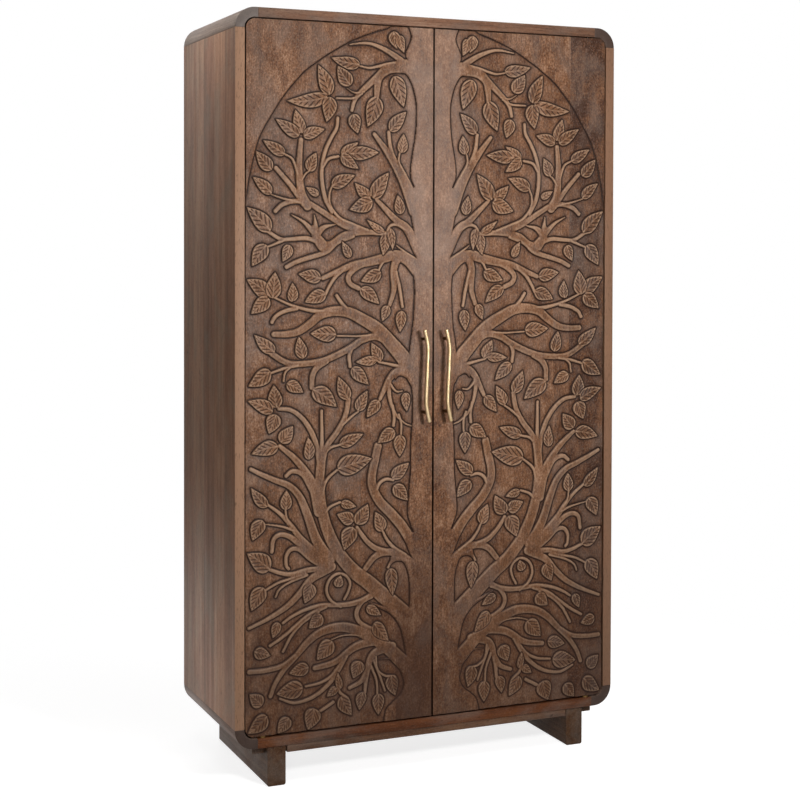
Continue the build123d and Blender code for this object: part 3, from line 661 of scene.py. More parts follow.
@dataclass(frozen=True)
class CarvedMango(StainedMango):
    """The same wood carved: stain gathers in the cuts, and limbs and leaves were sanded back after staining.

    Cuts look darker and greyer, with painted shade in hollows and round raised shapes. Raised edges are
    warmer and paler, as wear and as a painted highlight. The upper trunk is painted paler and greyer
    as a sheen, and the doors are painted darker towards the foot as shade.
    """

    trunk_sheen_tone: str = "#a58f82"
    trunk_side: Fade = (0.1, 0.05, 0.0, 1.0)
    trunk_height: Fade = (0.8, 1.3, 0.0, 0.22)
    proud_tone: str = "#865f3f"
    proud_fade: Fade = (0.36, 0.64, 0.18, 0.0)
    stain_and_shade_share: float = 0.34
    stain_and_shade_level: float = 0.62
    # paler crests: wear where raised edges were rubbed back, and a painted highlight
    rubbed_highlight_tone: str = "#a98a70"
    rubbed_highlight_fade: Fade = (-0.14, -0.62, 0.0, 0.6)
    groove_stain_and_shade_tone: str = "#1f0f07"
    groove_share: float = 0.95
    hollow_stain_and_shade_fade: Fade = (0.15, 0.9, 0.0, 0.55)
    stroke_share: float = 0.62
    stroke_depth: float = 5.0
    foot_shade_fade: Fade = (0.7, 0.18, 0.0, 0.44)
    foot_shade_level: float = 0.8
    # painted shade towards the foot, deepest on the board left of the meeting line: its middle, half its
    # width, and how much
    foot_shade_board: Place = (-49.0, 47.4, 0.7)

    def strokes(self, add: Callable, leaf: Any) -> Node:
        """Draw the gouge strokes, which leave the midrib at the leaves' slant and spacing.

        Args:
            add: add_node for the material's tree.
            leaf: Whether a place is on a blade, how far along it is and how far off the midrib.

        Returns:
            How deep in a stroke each place is, from 0 to 1.
        """
        side = add("Math", (leaf[2],), operation="ABSOLUTE")
        run = add("Math", (side, -LeafForm.slant, leaf[1]), operation="MULTIPLY_ADD")
        fold = add("Math", (run, LeafForm.stroke_spacing / 2), operation="PINGPONG")
        strokes = add("MapRange", (fold, 0.5, LeafForm.stroke_half + 0.5, 1.0, 0.0))
        off_rib = add("MapRange", (side, *LeafForm.rib_edge))
        lines = add("Math", (strokes, off_rib), operation="MULTIPLY")
        return add("Math", (lines, leaf[0]), operation="MULTIPLY")

    def carving(self, add: Callable, place: Any, patch: Node, height: Node) -> tuple[list, Node]:
        """Say how the carved wood differs from plain boards.

        Args:
            add: add_node for the material's tree.
            place: Object coordinates split into X, Y and Z.
            patch: A broad pattern that says where the wood was rubbed more.
            height: The fine relief.

        Returns:
            Layers, each the share, tone and level of a colour laid over the wood, and the new fine relief.
        """
        bend = add("Attribute", attribute_name="bend").outputs["Fac"]
        cut, leaf = (
            add("SeparateXYZ", (add("Attribute", attribute_name=name).outputs["Vector"],)).outputs
            for name in ("cut", "leaf")
        )
        # painted sheen: the upper trunk is painted paler and greyer
        side = add("Math", (place["X"],), operation="ABSOLUTE")
        near = add("MapRange", (side, *self.trunk_side), interpolation_type=SOFT)
        high = add("MapRange", (place["Z"], *self.trunk_height), interpolation_type=SOFT)
        trunk = add("Math", (near, high), operation="MULTIPLY")
        rubs = add("MapRange", (patch, *self.proud_fade))
        proud = add("Math", (cut[2], rubs), operation="MULTIPLY")
        # painted shade, with some stain, on the ground round raised shapes
        stain_and_shade = add("Math", (cut[1], self.stain_and_shade_share), operation="MULTIPLY")
        # crests are paler: wear where the raised edges were rubbed back, and a painted highlight
        edge = add("MapRange", (bend, *self.rubbed_highlight_fade))
        rubbed = add("Math", (edge, cut[2]), operation="MULTIPLY")
        # stain and painted shade in hollows, by the relief's curvature
        hollow_stain_and_shade = add("MapRange", (bend, *self.hollow_stain_and_shade_fade))
        groove = add("Math", (cut[0], self.groove_share, hollow_stain_and_shade), operation="MULTIPLY_ADD")
        strokes = self.strokes(add, leaf)
        # the dark layer: stain in groove lines and gouge strokes, and stain with painted shade in hollows
        dark = add("Math", (strokes, self.stroke_share, groove), operation="MULTIPLY_ADD", use_clamp=True)
        # painted shade: the doors darken towards the bottom, most on the board left of the meeting line
        middle, half, more = self.foot_shade_board
        low = add("MapRange", (place["Z"], *self.foot_shade_fade), interpolation_type=SOFT)
        board = add("Math", (place["X"], middle * MM, half * MM), operation="COMPARE")
        deeper = add("Math", (board, more, 1.0), operation="MULTIPLY_ADD")
        foot = add("Math", (low, deeper), operation="MULTIPLY")
        layers = [
            (trunk, self.trunk_sheen_tone, 1.0), (proud, self.proud_tone, 1.0),
            (stain_and_shade, self.shadow, self.stain_and_shade_level), (rubbed, self.rubbed_highlight_tone, 1.0),
            (dark, self.groove_stain_and_shade_tone, 1.0), (foot, self.shadow, self.foot_shade_level),
        ]
        return layers, add("Math", (strokes, -self.stroke_depth, height), operation="MULTIPLY_ADD")


@dataclass(frozen=True)
class AgedMetal:
    """Cast or drawn metal, filed by hand and lacquered or plated: shallow file marks and darker mottling."""

    name: str
    body: str
    dark: str
    roughness: float
    mottle_size: float = 14.0
    file_mark: tuple[float, float] = (0.9, 12.0)
    aged_fade: Fade = (0.42, 0.72, 0.0, 0.5)

    def build(self) -> Material:
        """Return the metal as a node material."""
        material, add = new_material(self.name)
        here = add("TexCoord").outputs["Object"]
        mottle = add("TexNoise", {"Vector": here, "Scale": 1 / (self.mottle_size * MM), "Detail": 4.0})
        scaled = add("Mapping", {"Vector": here, "Scale": Grain.UPRIGHT.scales(*self.file_mark)})
        marks = add("TexNoise", {"Vector": scaled, "Scale": 1.0, "Detail": 2.0})
        aged = add("MapRange", (mottle, *self.aged_fade))
        colour = add("Mix", (aged, srgb(self.body), srgb(self.dark)), data_type="RGBA")
        rough = add("MapRange", (marks, 0.3, 0.7, self.roughness - 0.06, self.roughness + 0.1))
        close_material(add, (marks, 0.02, 0.03), {"Base Color": colour, "Roughness": rough, "Metallic": 1.0})
        return material


@dataclass(frozen=True)
class MouldedShell:
    """Injection-moulded acetal with a fine spark-eroded texture: even, slightly soft-looking and matt."""

    name: str
    body: str = "#4b4039"
    roughness: float = 0.55
    grit_size: float = 0.8

    def build(self) -> Material:
        """Return the plastic as a node material."""
        material, add = new_material(self.name)
        here = add("TexCoord").outputs["Object"]
        grit = add("TexNoise", {"Vector": here, "Scale": 1 / (self.grit_size * MM), "Detail": 1.0})
        tint = add("Mix", (grit, srgb(self.body, 0.9), srgb(self.body, 1.1)), data_type="RGBA")
        close_material(add, (grit, 0.3, 0.05), {"Base Color": tint, "Roughness": self.roughness})
        return material


# Carved doors


@dataclass
class LeafForm:
    """One carved leaf: a hollowed blade with a raised rim and midrib, and gouge strokes between them."""

    stroke_spacing = 11.0
    stroke_half = 2.0
    stroke_count = 5.0
    stroke_depth = 0.9
    slant = 1.35
    rib_edge = (0.72, 1.92)
    rim = -0.3
    dish = 0.7
    edge_fall = 0.4

    stalk: np.ndarray
    tip: np.ndarray
    width: float
    sweep: float

    def __post_init__(self) -> None:
        """Work out the leaf's own axes."""
        run = self.tip - self.stalk
        self.length = float(np.hypot(*run))
        self.along = run / self.length
        self.across = np.array([-self.along[1], self.along[0]])
        # long leaves have wider strokes, so each has about the same number
        self.fineness = float(np.clip(self.stroke_spacing * self.stroke_count / self.length, 0.7, 1.25))

    def half_width(self, share: np.ndarray) -> np.ndarray:
        """Return half the leaf's width at shares of its length, fullest near the stalk."""
        inside = np.clip(share, 0.0, 1.0)
        return 0.5 * self.width * np.sin(math.pi * inside**0.66) ** 0.84 * (1.04 - 0.1 * inside**3)

    def axis_offset(self, share: np.ndarray) -> np.ndarray:
        """Return how far the midrib swings aside at shares of its length."""
        inside = np.clip(share, 0.0, 1.0)
        return self.sweep * self.length * 4 * inside * (1 - inside)

    def outline(self) -> np.ndarray:
        """Return close points round the leaf's edge."""
        share = np.linspace(0.0, 1.0, 22)
        middle = self.stalk + np.outer(share * self.length, self.along)
        middle += np.outer(self.axis_offset(share), self.across)
        edge = np.outer(self.half_width(share), self.across)
        return np.vstack([middle + edge, (middle - edge)[::-1], (middle + edge)[:1]])

    def measure(self, across: np.ndarray, down: np.ndarray) -> tuple[np.ndarray, np.ndarray, np.ndarray]:
        """Measure places against the leaf.

        Args:
            across: The places' distance across the door.
            down: The places' distance down the door.

        Returns:
            Distance outside the leaf, the share of its length, and the distance from its midrib.
        """
        from_u, from_v = across - self.stalk[0], down - self.stalk[1]
        share = (from_u * self.along[0] + from_v * self.along[1]) / self.length
        off = from_u * self.across[0] + from_v * self.across[1] - self.axis_offset(share)
        line = self.outline()
        gap = line_distance(across, down, line, np.zeros(len(line)))[0]
        within = (np.abs(off) < self.half_width(share)) & (share > 0) & (share < 1)
        return np.where(within, -gap, gap), share, off

    def blade(self, outside: np.ndarray) -> np.ndarray:
        """Return where the blade lies inside its rim, from 0 to 1."""
        return smooth_step(-1.2, -2.8, outside)

    def surface(self, outside: np.ndarray, share: np.ndarray, off: np.ndarray) -> np.ndarray:
        """Return the blade's height from the three measures."""
        breadth = np.maximum(self.half_width(share), 1.0)
        reach = np.clip(np.abs(off) / breadth, 0.0, 1.0)
        height = self.rim - self.dish * np.sin(math.pi * reach)
        run = self.fineness * (share * self.length - self.slant * np.abs(off))
        fold = np.abs((run / self.stroke_spacing + 0.5) % 1.0 - 0.5) * self.stroke_spacing
        stroke = np.clip(1.3 - fold / self.stroke_half, 0.0, 1.0) * self.blade(outside)
        stroke *= smooth_step(*self.rib_edge, self.fineness * np.abs(off))
        return height - self.stroke_depth * stroke - self.edge_fall * smooth_step(-1.4, 0.0, outside)


@dataclass
class TreeRelief:
    """The carved tree over one door, as heights above the sunk ground. Both doors have the same tree."""

    width: float = 472.0
    height: float = 1663.0
    cell: float = 1.6
    corner: float = 22.0
    squeeze: float = 66.0
    arris: float = 1.2
    arris_steps: Place = (0.0, 0.12, 0.45)
    ground: float = 2.6
    dip: float = 0.8
    dip_width: float = 11.0
    stain_and_shade_width: float = 8.5
    groove: float = 1.1
    groove_width: float = 2.6
    line_offset: float = 0.6
    line_width: float = 3.0
    notch: float = 1.6
    notch_width: float = 1.1
    limb_drop: float = 2.5
    limb_round: float = 9.0
    wall: float = 1.6
    plain_wall: float = 2.6
    plain_fall: float = 0.6
    field_reach: float = 12.0
    joints: tuple[int, ...] = (213, 308, 430, 600, 800)
    seed: int = 41

    def place(self, points: Any) -> np.ndarray:
        """Turn places in the carving tables into millimetres across and down."""
        return np.asarray(points, float) * THOUSANDTH * np.array([self.width, self.height])

    def columns(self) -> tuple[np.ndarray, list[int]]:
        """Return the mesh's columns across the door, and which of them lie on a joint or an edge."""
        joints = [joint * THOUSANDTH * self.width for joint in self.joints]
        stops = [self.arris, *joints, self.width - self.arris]
        eased = self.arris * np.array([*self.arris_steps, 1.0])
        places, marks = list(eased[:-1]), [0]
        for start, end in zip(stops, stops[1:]):
            places += list(np.linspace(start, end, max(1, round((end - start) / self.cell)), endpoint=False))
            marks.append(len(places))
        places += list(self.width - eased[::-1])
        marks[-1] = len(places) - 1
        return np.array(places), marks

    def rows(self) -> np.ndarray:
        """Return the mesh's rows down the door, closer at its rounded corners."""
        turn = np.linspace(0.0, math.pi / 2, 15)[1:]
        near = np.concatenate([self.arris * np.array(self.arris_steps), self.corner * (1 - np.cos(turn))])
        near = np.unique(np.round(near, 3))
        near = near[np.concatenate([[True], np.diff(near) > 0.12])]
        count = round((self.height - 2 * self.corner) / self.cell)
        middle = np.linspace(self.corner, self.height - self.corner, count + 1)[1:-1]
        return np.concatenate([near, middle, self.height - near[::-1]])

    def corner_inset(self, down: np.ndarray) -> np.ndarray:
        """Return how far the outer edge stands in at its rounded corners."""
        end = np.minimum(down, self.height - down)
        away = np.clip(self.corner - end, 0.0, self.corner)
        return self.corner - np.sqrt(np.maximum(self.corner**2 - away**2, 0.0))

    def carve(self) -> None:
        """Work out the whole relief: heights, hollows, tones and where each leaf runs."""
        columns, self.marks = self.columns()
        self.across, self.down = np.meshgrid(columns, self.rows())
        inset = self.corner_inset(self.down)
        self.across = self.across + inset * np.clip(1 - self.across / self.squeeze, 0.0, 1.0)
        random = np.random.default_rng(self.seed)
        softened = [blur(random.standard_normal(self.across.shape), cells) for cells in (1.6, 5.0)]
        self.fine, self.coarse = (rough / rough.std() for rough in softened)
        field_gap, in_field = self.field_distance()
        self.off_plain = np.where(in_field, field_gap, -field_gap)
        limbs = [self.limb_measure(row) for row in LIMB_SHARES]
        leaves = [self.leaf_measure(row, random) for row in LEAF_SHARES]
        nearest = np.maximum(self.off_plain, 0.0)
        for window, outside, *_ in limbs + leaves:
            nearest[window] = np.minimum(nearest[window], np.maximum(outside, 0.0))
        dip, groove = self.dip * bell(nearest, self.dip_width), self.groove * bell(nearest, self.groove_width)
        self.bed = -(self.ground + dip + groove) + (0.16 * self.fine + 0.26 * self.coarse)
        plain = -self.plain_fall * np.clip(1 + self.off_plain / 2.4, 0.0, 1.0) ** 2 + 0.02 * self.coarse
        on_plain = smooth_step(self.plain_wall, -self.plain_wall, self.off_plain)
        self.surface = self.bed + (plain - self.bed) * on_plain
        self.line = bell(nearest - self.line_offset, self.line_width) * in_field
        self.line *= np.clip(0.9 + 0.16 * self.coarse, 0.5, 1.0)
        # painted shade on the sunk ground round every raised shape, with some stain pooled there
        self.stain_and_shade = bell(nearest, self.stain_and_shade_width) * in_field
        self.proud = np.zeros(self.surface.shape)
        self.leaf = np.zeros((*self.surface.shape, 3))
        for limb in limbs:
            self.raise_limb(*limb)
        for leaf in leaves:
            self.raise_leaf(*leaf)
        # curvature, above 0 in hollows and below 0 on crests: the wood paints shade into hollows and a
        # highlight onto crests by it
        self.bend = np.clip((blur(self.surface, 3.0 / self.cell) - self.surface) / 1.1, -1.0, 1.0)
        self.cut = np.stack([self.line, self.stain_and_shade, self.proud], axis=-1)
        self.height_map = np.minimum(self.surface - self.edge_drop(), 0.0)
        rise_down, rise_across = (
            np.gradient(self.height_map, axis=axis) / np.gradient(places, axis=axis)
            for axis, places in enumerate((self.down, self.across))
        )
        slope = np.stack([-rise_across, -rise_down, np.ones(self.surface.shape)], axis=-1)
        self.slope = slope / np.linalg.norm(slope, axis=-1, keepdims=True)

    def raise_limb(self, window: Window, outside: np.ndarray, half: np.ndarray, run: np.ndarray) -> None:
        """Raise one limb, round on top and lower toward its tip.

        Args:
            window: The part of the maps that it lies in.
            outside: How far places lie outside it.
            half: Half its width.
            run: The share of its run.
        """
        edge = 1 - np.clip(-outside / np.minimum(half, self.limb_round), 0.0, 1.0)
        crest = -0.3 - 0.7 * run + 0.2 * self.coarse[window] + 0.1 * self.fine[window]
        top = crest - self.limb_drop * round_fall(edge)
        under = self.bed[window]
        inside = smooth_step(self.wall, -self.wall, outside)
        self.surface[window] = np.maximum(self.surface[window], under + (top - under) * inside)
        self.proud[window] = np.maximum(self.proud[window], inside * (self.off_plain[window] > 0))
        self.line[window] *= 1 - smooth_step(0.3, -0.9, outside)
        self.stain_and_shade[window] *= 1 - inside

    def raise_leaf(
        self, window: Window, outside: np.ndarray, share: np.ndarray, off: np.ndarray, form: LeafForm
    ) -> None:
        """Set one leaf over what lies under it, with a notch round it where it crosses a limb.

        Args:
            window: The part of the maps that it lies in.
            outside: How far places lie outside it.
            share: The share of its length.
            off: The distance from its midrib.
            form: Its form.
        """
        below = self.surface[window]
        inside = smooth_step(self.wall, -self.wall, outside)
        over = smooth_step(0.2, 1.2, below - self.bed[window]) * smooth_step(0.04, 0.2, share)
        notch = bell(outside - self.notch_width, self.notch_width) * over
        top = form.surface(outside, share, off) + 0.05 * self.fine[window]
        self.surface[window] = (below - self.notch * notch) * (1 - inside) + top * inside
        self.proud[window] = np.maximum(self.proud[window], inside)
        self.line[window] = np.maximum(self.line[window], 0.9 * notch) * (1 - smooth_step(0.3, -0.9, outside))
        self.stain_and_shade[window] *= 1 - inside
        near = outside < 3.0
        along, aside = form.fineness * share * form.length, form.fineness * off
        self.leaf[window][near] = np.stack([form.blade(outside), along, aside], axis=-1)[near]

    def edge_drop(self) -> np.ndarray:
        """Return how far the eased outer arris falls away."""
        end = np.minimum(self.down, self.height - self.down)
        side = np.minimum(self.across - self.corner_inset(self.down), self.width - self.across)
        gap = np.minimum(side, end)
        return self.arris * round_fall(1 - np.clip(gap / self.arris, 0.0, 1.0))

    def window(self, points: np.ndarray, margin: float) -> Window:
        """Return the part of the maps that lies round some points."""
        low, high = points.min(axis=0) - margin, points.max(axis=0) + margin
        first_row, last_row = np.searchsorted(self.down[:, 0], (low[1], high[1]))
        first, last = np.searchsorted(self.across[len(self.across) // 2], (low[0], high[0]))
        if low[0] < self.squeeze:
            first = 0
        return slice(int(first_row), int(last_row)), slice(int(first), int(last))

    def field_distance(self) -> tuple[np.ndarray, np.ndarray]:
        """Return the distance to the edge of the sunk field, up to a limit, and which places lie in it."""
        path = np.vstack([smooth_line(self.place(line), 4.0) for line in (ARCH_SHARES, *TRUNK_EDGE_SHARES)])
        gap = np.full(self.across.shape, self.field_reach)
        for start in range(0, len(path) - 1, 6):
            part = path[start:start + 7]
            window = self.window(part, self.field_reach)
            measured = line_distance(self.across[window], self.down[window], part, np.zeros(len(part)))[0]
            gap[window] = np.minimum(gap[window], measured)
        ring = np.vstack([path, self.place([(-40, 1005), (-40, 262)])])
        inside = np.zeros(self.across.shape, bool)
        for start, end in zip(ring, np.roll(ring, -1, axis=0)):
            if start[1] == end[1]:
                continue
            crosses = (start[1] > self.down) != (end[1] > self.down)
            reach = start[0] + (end[0] - start[0]) * (self.down - start[1]) / (end[1] - start[1])
            inside ^= crosses & (self.across < reach)
        return gap, inside

    def limb_measure(self, row: tuple) -> tuple:
        """Measure the places round one limb: where, how far outside, half its width and share of its run."""
        root, end, places = row
        line = smooth_line(self.place(places), 3.0)
        reach = np.linspace(root, end, len(line)) * THOUSANDTH * self.width / 2
        window = self.window(line, root * THOUSANDTH * self.width / 2 + 8)
        return window, *line_distance(self.across[window], self.down[window], line, reach)

    def leaf_measure(self, row: tuple, random: np.random.Generator) -> tuple:
        """Measure the places round one leaf: where, how far outside, share of length, off midrib, form."""
        *ends, breadth = row
        stalk, tip = self.place(np.reshape(ends, (2, 2)))
        form = LeafForm(stalk, tip, breadth * THOUSANDTH * self.width, random.uniform(-0.055, 0.055))
        window = self.window(form.outline(), 8.0)
        return window, *form.measure(self.across[window], self.down[window]), form


@dataclass
class CarvedDoor:
    """One door, glued up from upright boards, with its carving."""

    hand: Hand
    relief: TreeRelief
    outer_x: float = 474.0
    top_z: float = 1784.0
    front_y: float = -198.5
    back_y: float = -176.5
    folds: int = 4

    def board(self, number: int) -> Mesh:
        """Make one board as a closed shell with a map for baking.

        Args:
            number: The board's place, from the outer edge.

        Returns:
            Its mesh.
        """
        relief, side = self.relief, self.hand.value
        part = (slice(None), slice(relief.marks[number], relief.marks[number + 1] + 1))
        across, down, raised = relief.across[part], relief.down[part], relief.height_map[part]
        row_count, column_count = across.shape
        x, z = side * (self.outer_x - across), self.top_z - down
        front = np.stack([x, self.front_y - raised, z], axis=-1).reshape(-1, 3)
        index = np.arange(row_count * column_count).reshape(row_count, column_count)
        ring = np.concatenate([index[0], index[1:, -1], index[-1, -2::-1], index[-2:0:-1, 0]])
        behind = front[ring].copy()
        behind[:, 1] = self.back_y
        back = np.full(index.shape, -1)
        back.flat[ring] = len(front) + np.arange(len(ring))
        quads = np.stack([index[:-1, :-1], index[1:, :-1], index[1:, 1:], index[:-1, 1:]], axis=-1)
        quads = quads.reshape(-1, 4)
        after = np.roll(ring, -1)
        walls = np.stack([ring, after, back.flat[after], back.flat[ring]], axis=-1)
        left, right = back[1:-1, 0], back[1:-1, -1]
        rungs = np.stack([left[:-1], right[:-1], right[1:], left[1:]], axis=-1)
        ends = [[*back[0], right[0], left[0]], [left[-1], right[-1], *back[-1][::-1]]]
        faces = quads.tolist() + walls.tolist() + rungs.tolist() + [[int(v) for v in end] for end in ends]
        if side > 0:
            faces = [face[::-1] for face in faces]
        mesh = bpy.data.meshes.new(f"{self.hand.word}_door_board_{number + 1}")
        mesh.from_pydata((np.vstack([front, behind]) * MM).tolist(), [], faces)
        mesh.shade_smooth()
        count = len(front) + len(ring)
        for name, kind, values in (
            ("bend", "FLOAT", relief.bend[part].reshape(-1)),
            ("cut", "FLOAT_VECTOR", relief.cut[part].reshape(-1, 3)),
            ("leaf", "FLOAT_VECTOR", relief.leaf[part].reshape(-1, 3)),
        ):
            whole = np.zeros((count, *values.shape[1:]), np.float32)
            whole[:len(front)] = values
            mesh.attributes.new(name, kind, "POINT").data.foreach_set(
                "value" if kind == "FLOAT" else "vector", whole.ravel())
        self.shade_board(mesh, relief.slope[part].reshape(-1, 3), len(quads) * 4)
        self.map_board(mesh, len(quads), len(walls), (row_count, column_count), ring)
        return mesh

    def shade_board(self, mesh: Mesh, slope: np.ndarray, front_loops: int) -> None:
        """Shade the front by the relief's own slopes, so that no joint between boards shows as a crease.

        Args:
            mesh: The board's mesh.
            slope: The front's normals in the relief's own axes, one for each point.
            front_loops: How many of the mesh's corners belong to the front.
        """
        corner_point = read_mesh(mesh.loops, "vertex_index", np.int64)
        size = read_mesh(mesh.polygons, "loop_total", np.int64)
        normals = np.repeat(read_mesh(mesh.polygons, "normal", np.float32, 3), size, axis=0)
        turned = np.stack([-self.hand.value * slope[:, 0], -slope[:, 2], -slope[:, 1]], axis=-1)
        normals[:front_loops] = turned[corner_point[:front_loops]]
        mesh.normals_split_custom_set(normals.tolist())

    def map_board(
        self, mesh: Mesh, quad_count: int, wall_count: int, shape: tuple[int, int], ring: np.ndarray
    ) -> None:
        """Lay the board out flat for baking: its front in folds side by side, its back and walls beside them.

        Args:
            mesh: The board's mesh: its faces are the front, then the walls, then the back.
            quad_count: How many faces the front has.
            wall_count: How many walls there are.
            shape: Rows and columns of the front.
            ring: The front's outer points, in order.
        """
        rows, columns = shape
        flat = np.zeros((len(mesh.loops), 2), np.float32)
        loop_point = read_mesh(mesh.loops, "vertex_index", np.int64)
        front_loops = slice(0, quad_count * 4)
        row_of_face = np.repeat(np.arange(quad_count) // (columns - 1), 4)
        per_fold = math.ceil((rows - 1) / self.folds)
        fold = row_of_face // per_fold
        point = loop_point[front_loops]
        row, column = point // columns, point % columns
        # the map's columns: the front's folds, two strips of walls and the back, each with a gap beside it
        fold_width, fill, foot, rise = 0.88 / self.folds, 0.94, 0.01, 0.98
        flat[front_loops, 0] = (fold + fill * column / (columns - 1)) * fold_width + 0.005
        flat[front_loops, 1] = foot + rise * (row - fold * per_fold) / per_fold
        wall_loops = slice(quad_count * 4, (quad_count + wall_count) * 4)
        wall = np.repeat(np.arange(wall_count), 4)
        order = np.zeros(quad_count + wall_count + rows * columns + 8, np.int64)
        order[ring] = np.arange(len(ring))
        half = math.ceil(wall_count / 2)
        corner = loop_point[wall_loops]
        is_back = corner >= rows * columns
        spot = np.where(is_back, corner - rows * columns, order[np.minimum(corner, rows * columns - 1)])
        step = (spot - wall) % len(ring)
        strip = wall // half
        flat[wall_loops, 0] = 0.895 + 0.022 * strip + 0.016 * is_back
        flat[wall_loops, 1] = foot + rise * (wall - strip * half + step) / half
        back_loops = slice((quad_count + wall_count) * 4, len(loop_point))
        place = read_mesh(mesh.vertices, "co", np.float32, 3)[loop_point[back_loops]]
        for row, axis, low, span in ((0, 0, 0.945, 0.045), (1, 2, foot, rise)):
            values = place[:, axis]
            flat[back_loops, row] = low + span * (values - values.min()) / np.ptp(values)
        mesh.uv_layers.new(name=BAKE_MAP).data.foreach_set("uv", flat.ravel())

    def build(self, wood: Material) -> None:
        """Make the door's boards and set them on their body.

        Args:
            wood: The carved wood.
        """
        for number in range(len(self.relief.joints) + 1):
            mesh = self.board(number)
            piece = new_object(mesh.name, mesh)
            dress(piece, wood)
            set_on(piece, f"{self.hand.word}_door", f"{self.hand.word}_door_panel")


# Case, base and fittings


@dataclass
class EasedBoards:
    """Boards of the case and base: the joiner's solids with their sharp edges taken off."""

    ease: float = 1.0
    smooth_angle: float = 32.0

    def eased_mesh(self, name: str) -> Mesh:
        """Return a copy of a solid with small rounded arrises.

        Args:
            name: The solid's node.

        Returns:
            A closed mesh in the same place.
        """
        mesh = bpy.data.objects[name].data.copy()
        shape = bmesh.new()
        shape.from_mesh(mesh)
        bmesh.ops.remove_doubles(shape, verts=shape.verts, dist=0.01 * MM)
        bmesh.ops.dissolve_limit(shape, angle_limit=math.radians(0.5), verts=shape.verts, edges=shape.edges)
        shape.to_mesh(mesh)
        shape.free()
        rough = new_object(f"{name}_rough", mesh)
        bevel = rough.modifiers.new("arris", "BEVEL")
        bevel.width = self.ease * MM
        bevel.segments = 2
        bevel.limit_method = "ANGLE"
        bevel.angle_limit = math.radians(self.smooth_angle)
        made = baked_mesh(rough)
        made.shade_smooth()
        made.set_sharp_from_angle(angle=math.radians(self.smooth_angle))
        return made

    def build(self, node: str, material: Material, wood_slot: str) -> None:
        """Replace a solid with its eased copy.

        Args:
            node: The solid's node.
            material: The wood that it is made of.
            wood_slot: Not used.
        """
        piece = new_object(f"{node}_board", self.eased_mesh(node))
        dress(piece, material)
        set_on(piece, "case", node)


@dataclass
class Case:
    """Carcase, back, shelves, base and legs."""

    boards: EasedBoards = field(default_factory=EasedBoards)

    def build(self) -> None:
        """Dress every wooden solid of the case and base."""
        side, right_side = (
            StainedMango(
                name, Grain.UPRIGHT, "#432b1c", "#7a543d", "#9f7a5e", end_tone=front_tone,
                drift_tone="#6b6455", streak=(20.0, 420.0, 0.6), board_axis=1, board_span=(-200.0, 232.0),
                board_tones=((-200.0, 0.5), (-118.0, 0.62), (-36.0, 0.42), (52.0, 0.66), (140.0, 0.5)),
            ).build() for name, front_tone in (
                ("stained_mango_side_boards", "#96745c"), ("stained_mango_right_side_boards", "#7c5d49"),
            )
        )
        across = StainedMango(
            "stained_mango_top_boards", Grain.ACROSS, "#39251b", "#6e4d3a", "#90705a", board_axis=1,
            board_span=(-200.0, 232.0),
            board_tones=((-200.0, 0.5), (-95.0, 0.38), (10.0, 0.6), (120.0, 0.45)),
        ).build()
        upright = StainedMango(
            "stained_mango_back_boards", Grain.UPRIGHT, "#44332a", "#6a5344", "#877060", roughness=0.58,
            board_tones=((-480.0, 0.45), (-300.0, 0.6), (-130.0, 0.4), (60.0, 0.55), (250.0, 0.48)),
        ).build()
        bottom, corner_painted_sheen, corner, inner, base, legs = (
            StainedMango(f"stained_mango_{name}", grain, *tones, **more).build()
            for name, grain, tones, more in (
                ("bottom_boards", Grain.ACROSS, ("#251208", "#582f16", "#744523"), {}),
                # the top left corner block is a paler, greyer copy of the corner wood: painted sheen on its
                # round face
                ("corner_block_painted_sheen", Grain.DEEP, ("#4b423d", "#6d5c51", "#93806f"), {"end_tone": "#625a56"}),
                ("corner_blocks", Grain.DEEP, ("#37271f", "#604a3e", "#83695b"), {"end_tone": "#3b2f2a"}),
                ("inside", Grain.ACROSS, ("#49362a", "#735a49", "#917865"), {"roughness": 0.55}),
                ("base_boards", Grain.ACROSS, ("#2f1e14", "#5c3f2d", "#785840"), {}),
                ("legs", Grain.DEEP, ("#211309", "#452b17", "#5e4028"), {}),
            )
        )
        for names, material, wood_slot in (
            (("left_side_panel",), side, "case_side"),
            (("right_side_panel",), right_side, "case_side"),
            (("top_panel",), across, "case_top"),
            (("bottom_panel",), bottom, "case_top"),
            (("top_left_corner_block",), corner_painted_sheen, "corner_wood"),
            (("top_right_corner_block", "bottom_left_corner_block", "bottom_right_corner_block"),
             corner, "corner_wood"),
            (("base_rail",), base, "base_wood"),
            (("left_base_strip", "right_base_strip", "left_leg_panel", "right_leg_panel"), legs, "base_wood"),
            (("fixed_shelf", "lower_shelf", "upper_shelf", "top_shelf", "wall_rail"), inner, "inner_wood"),
        ):
            for name in names:
                self.boards.build(name, material, wood_slot)
        for name, material in (
            ("back_panel", upright), ("left_back_batten", upright), ("right_back_batten", upright),
            ("left_door_stop", legs), ("right_door_stop", legs),
        ):
            dress(bpy.data.objects[name], material)


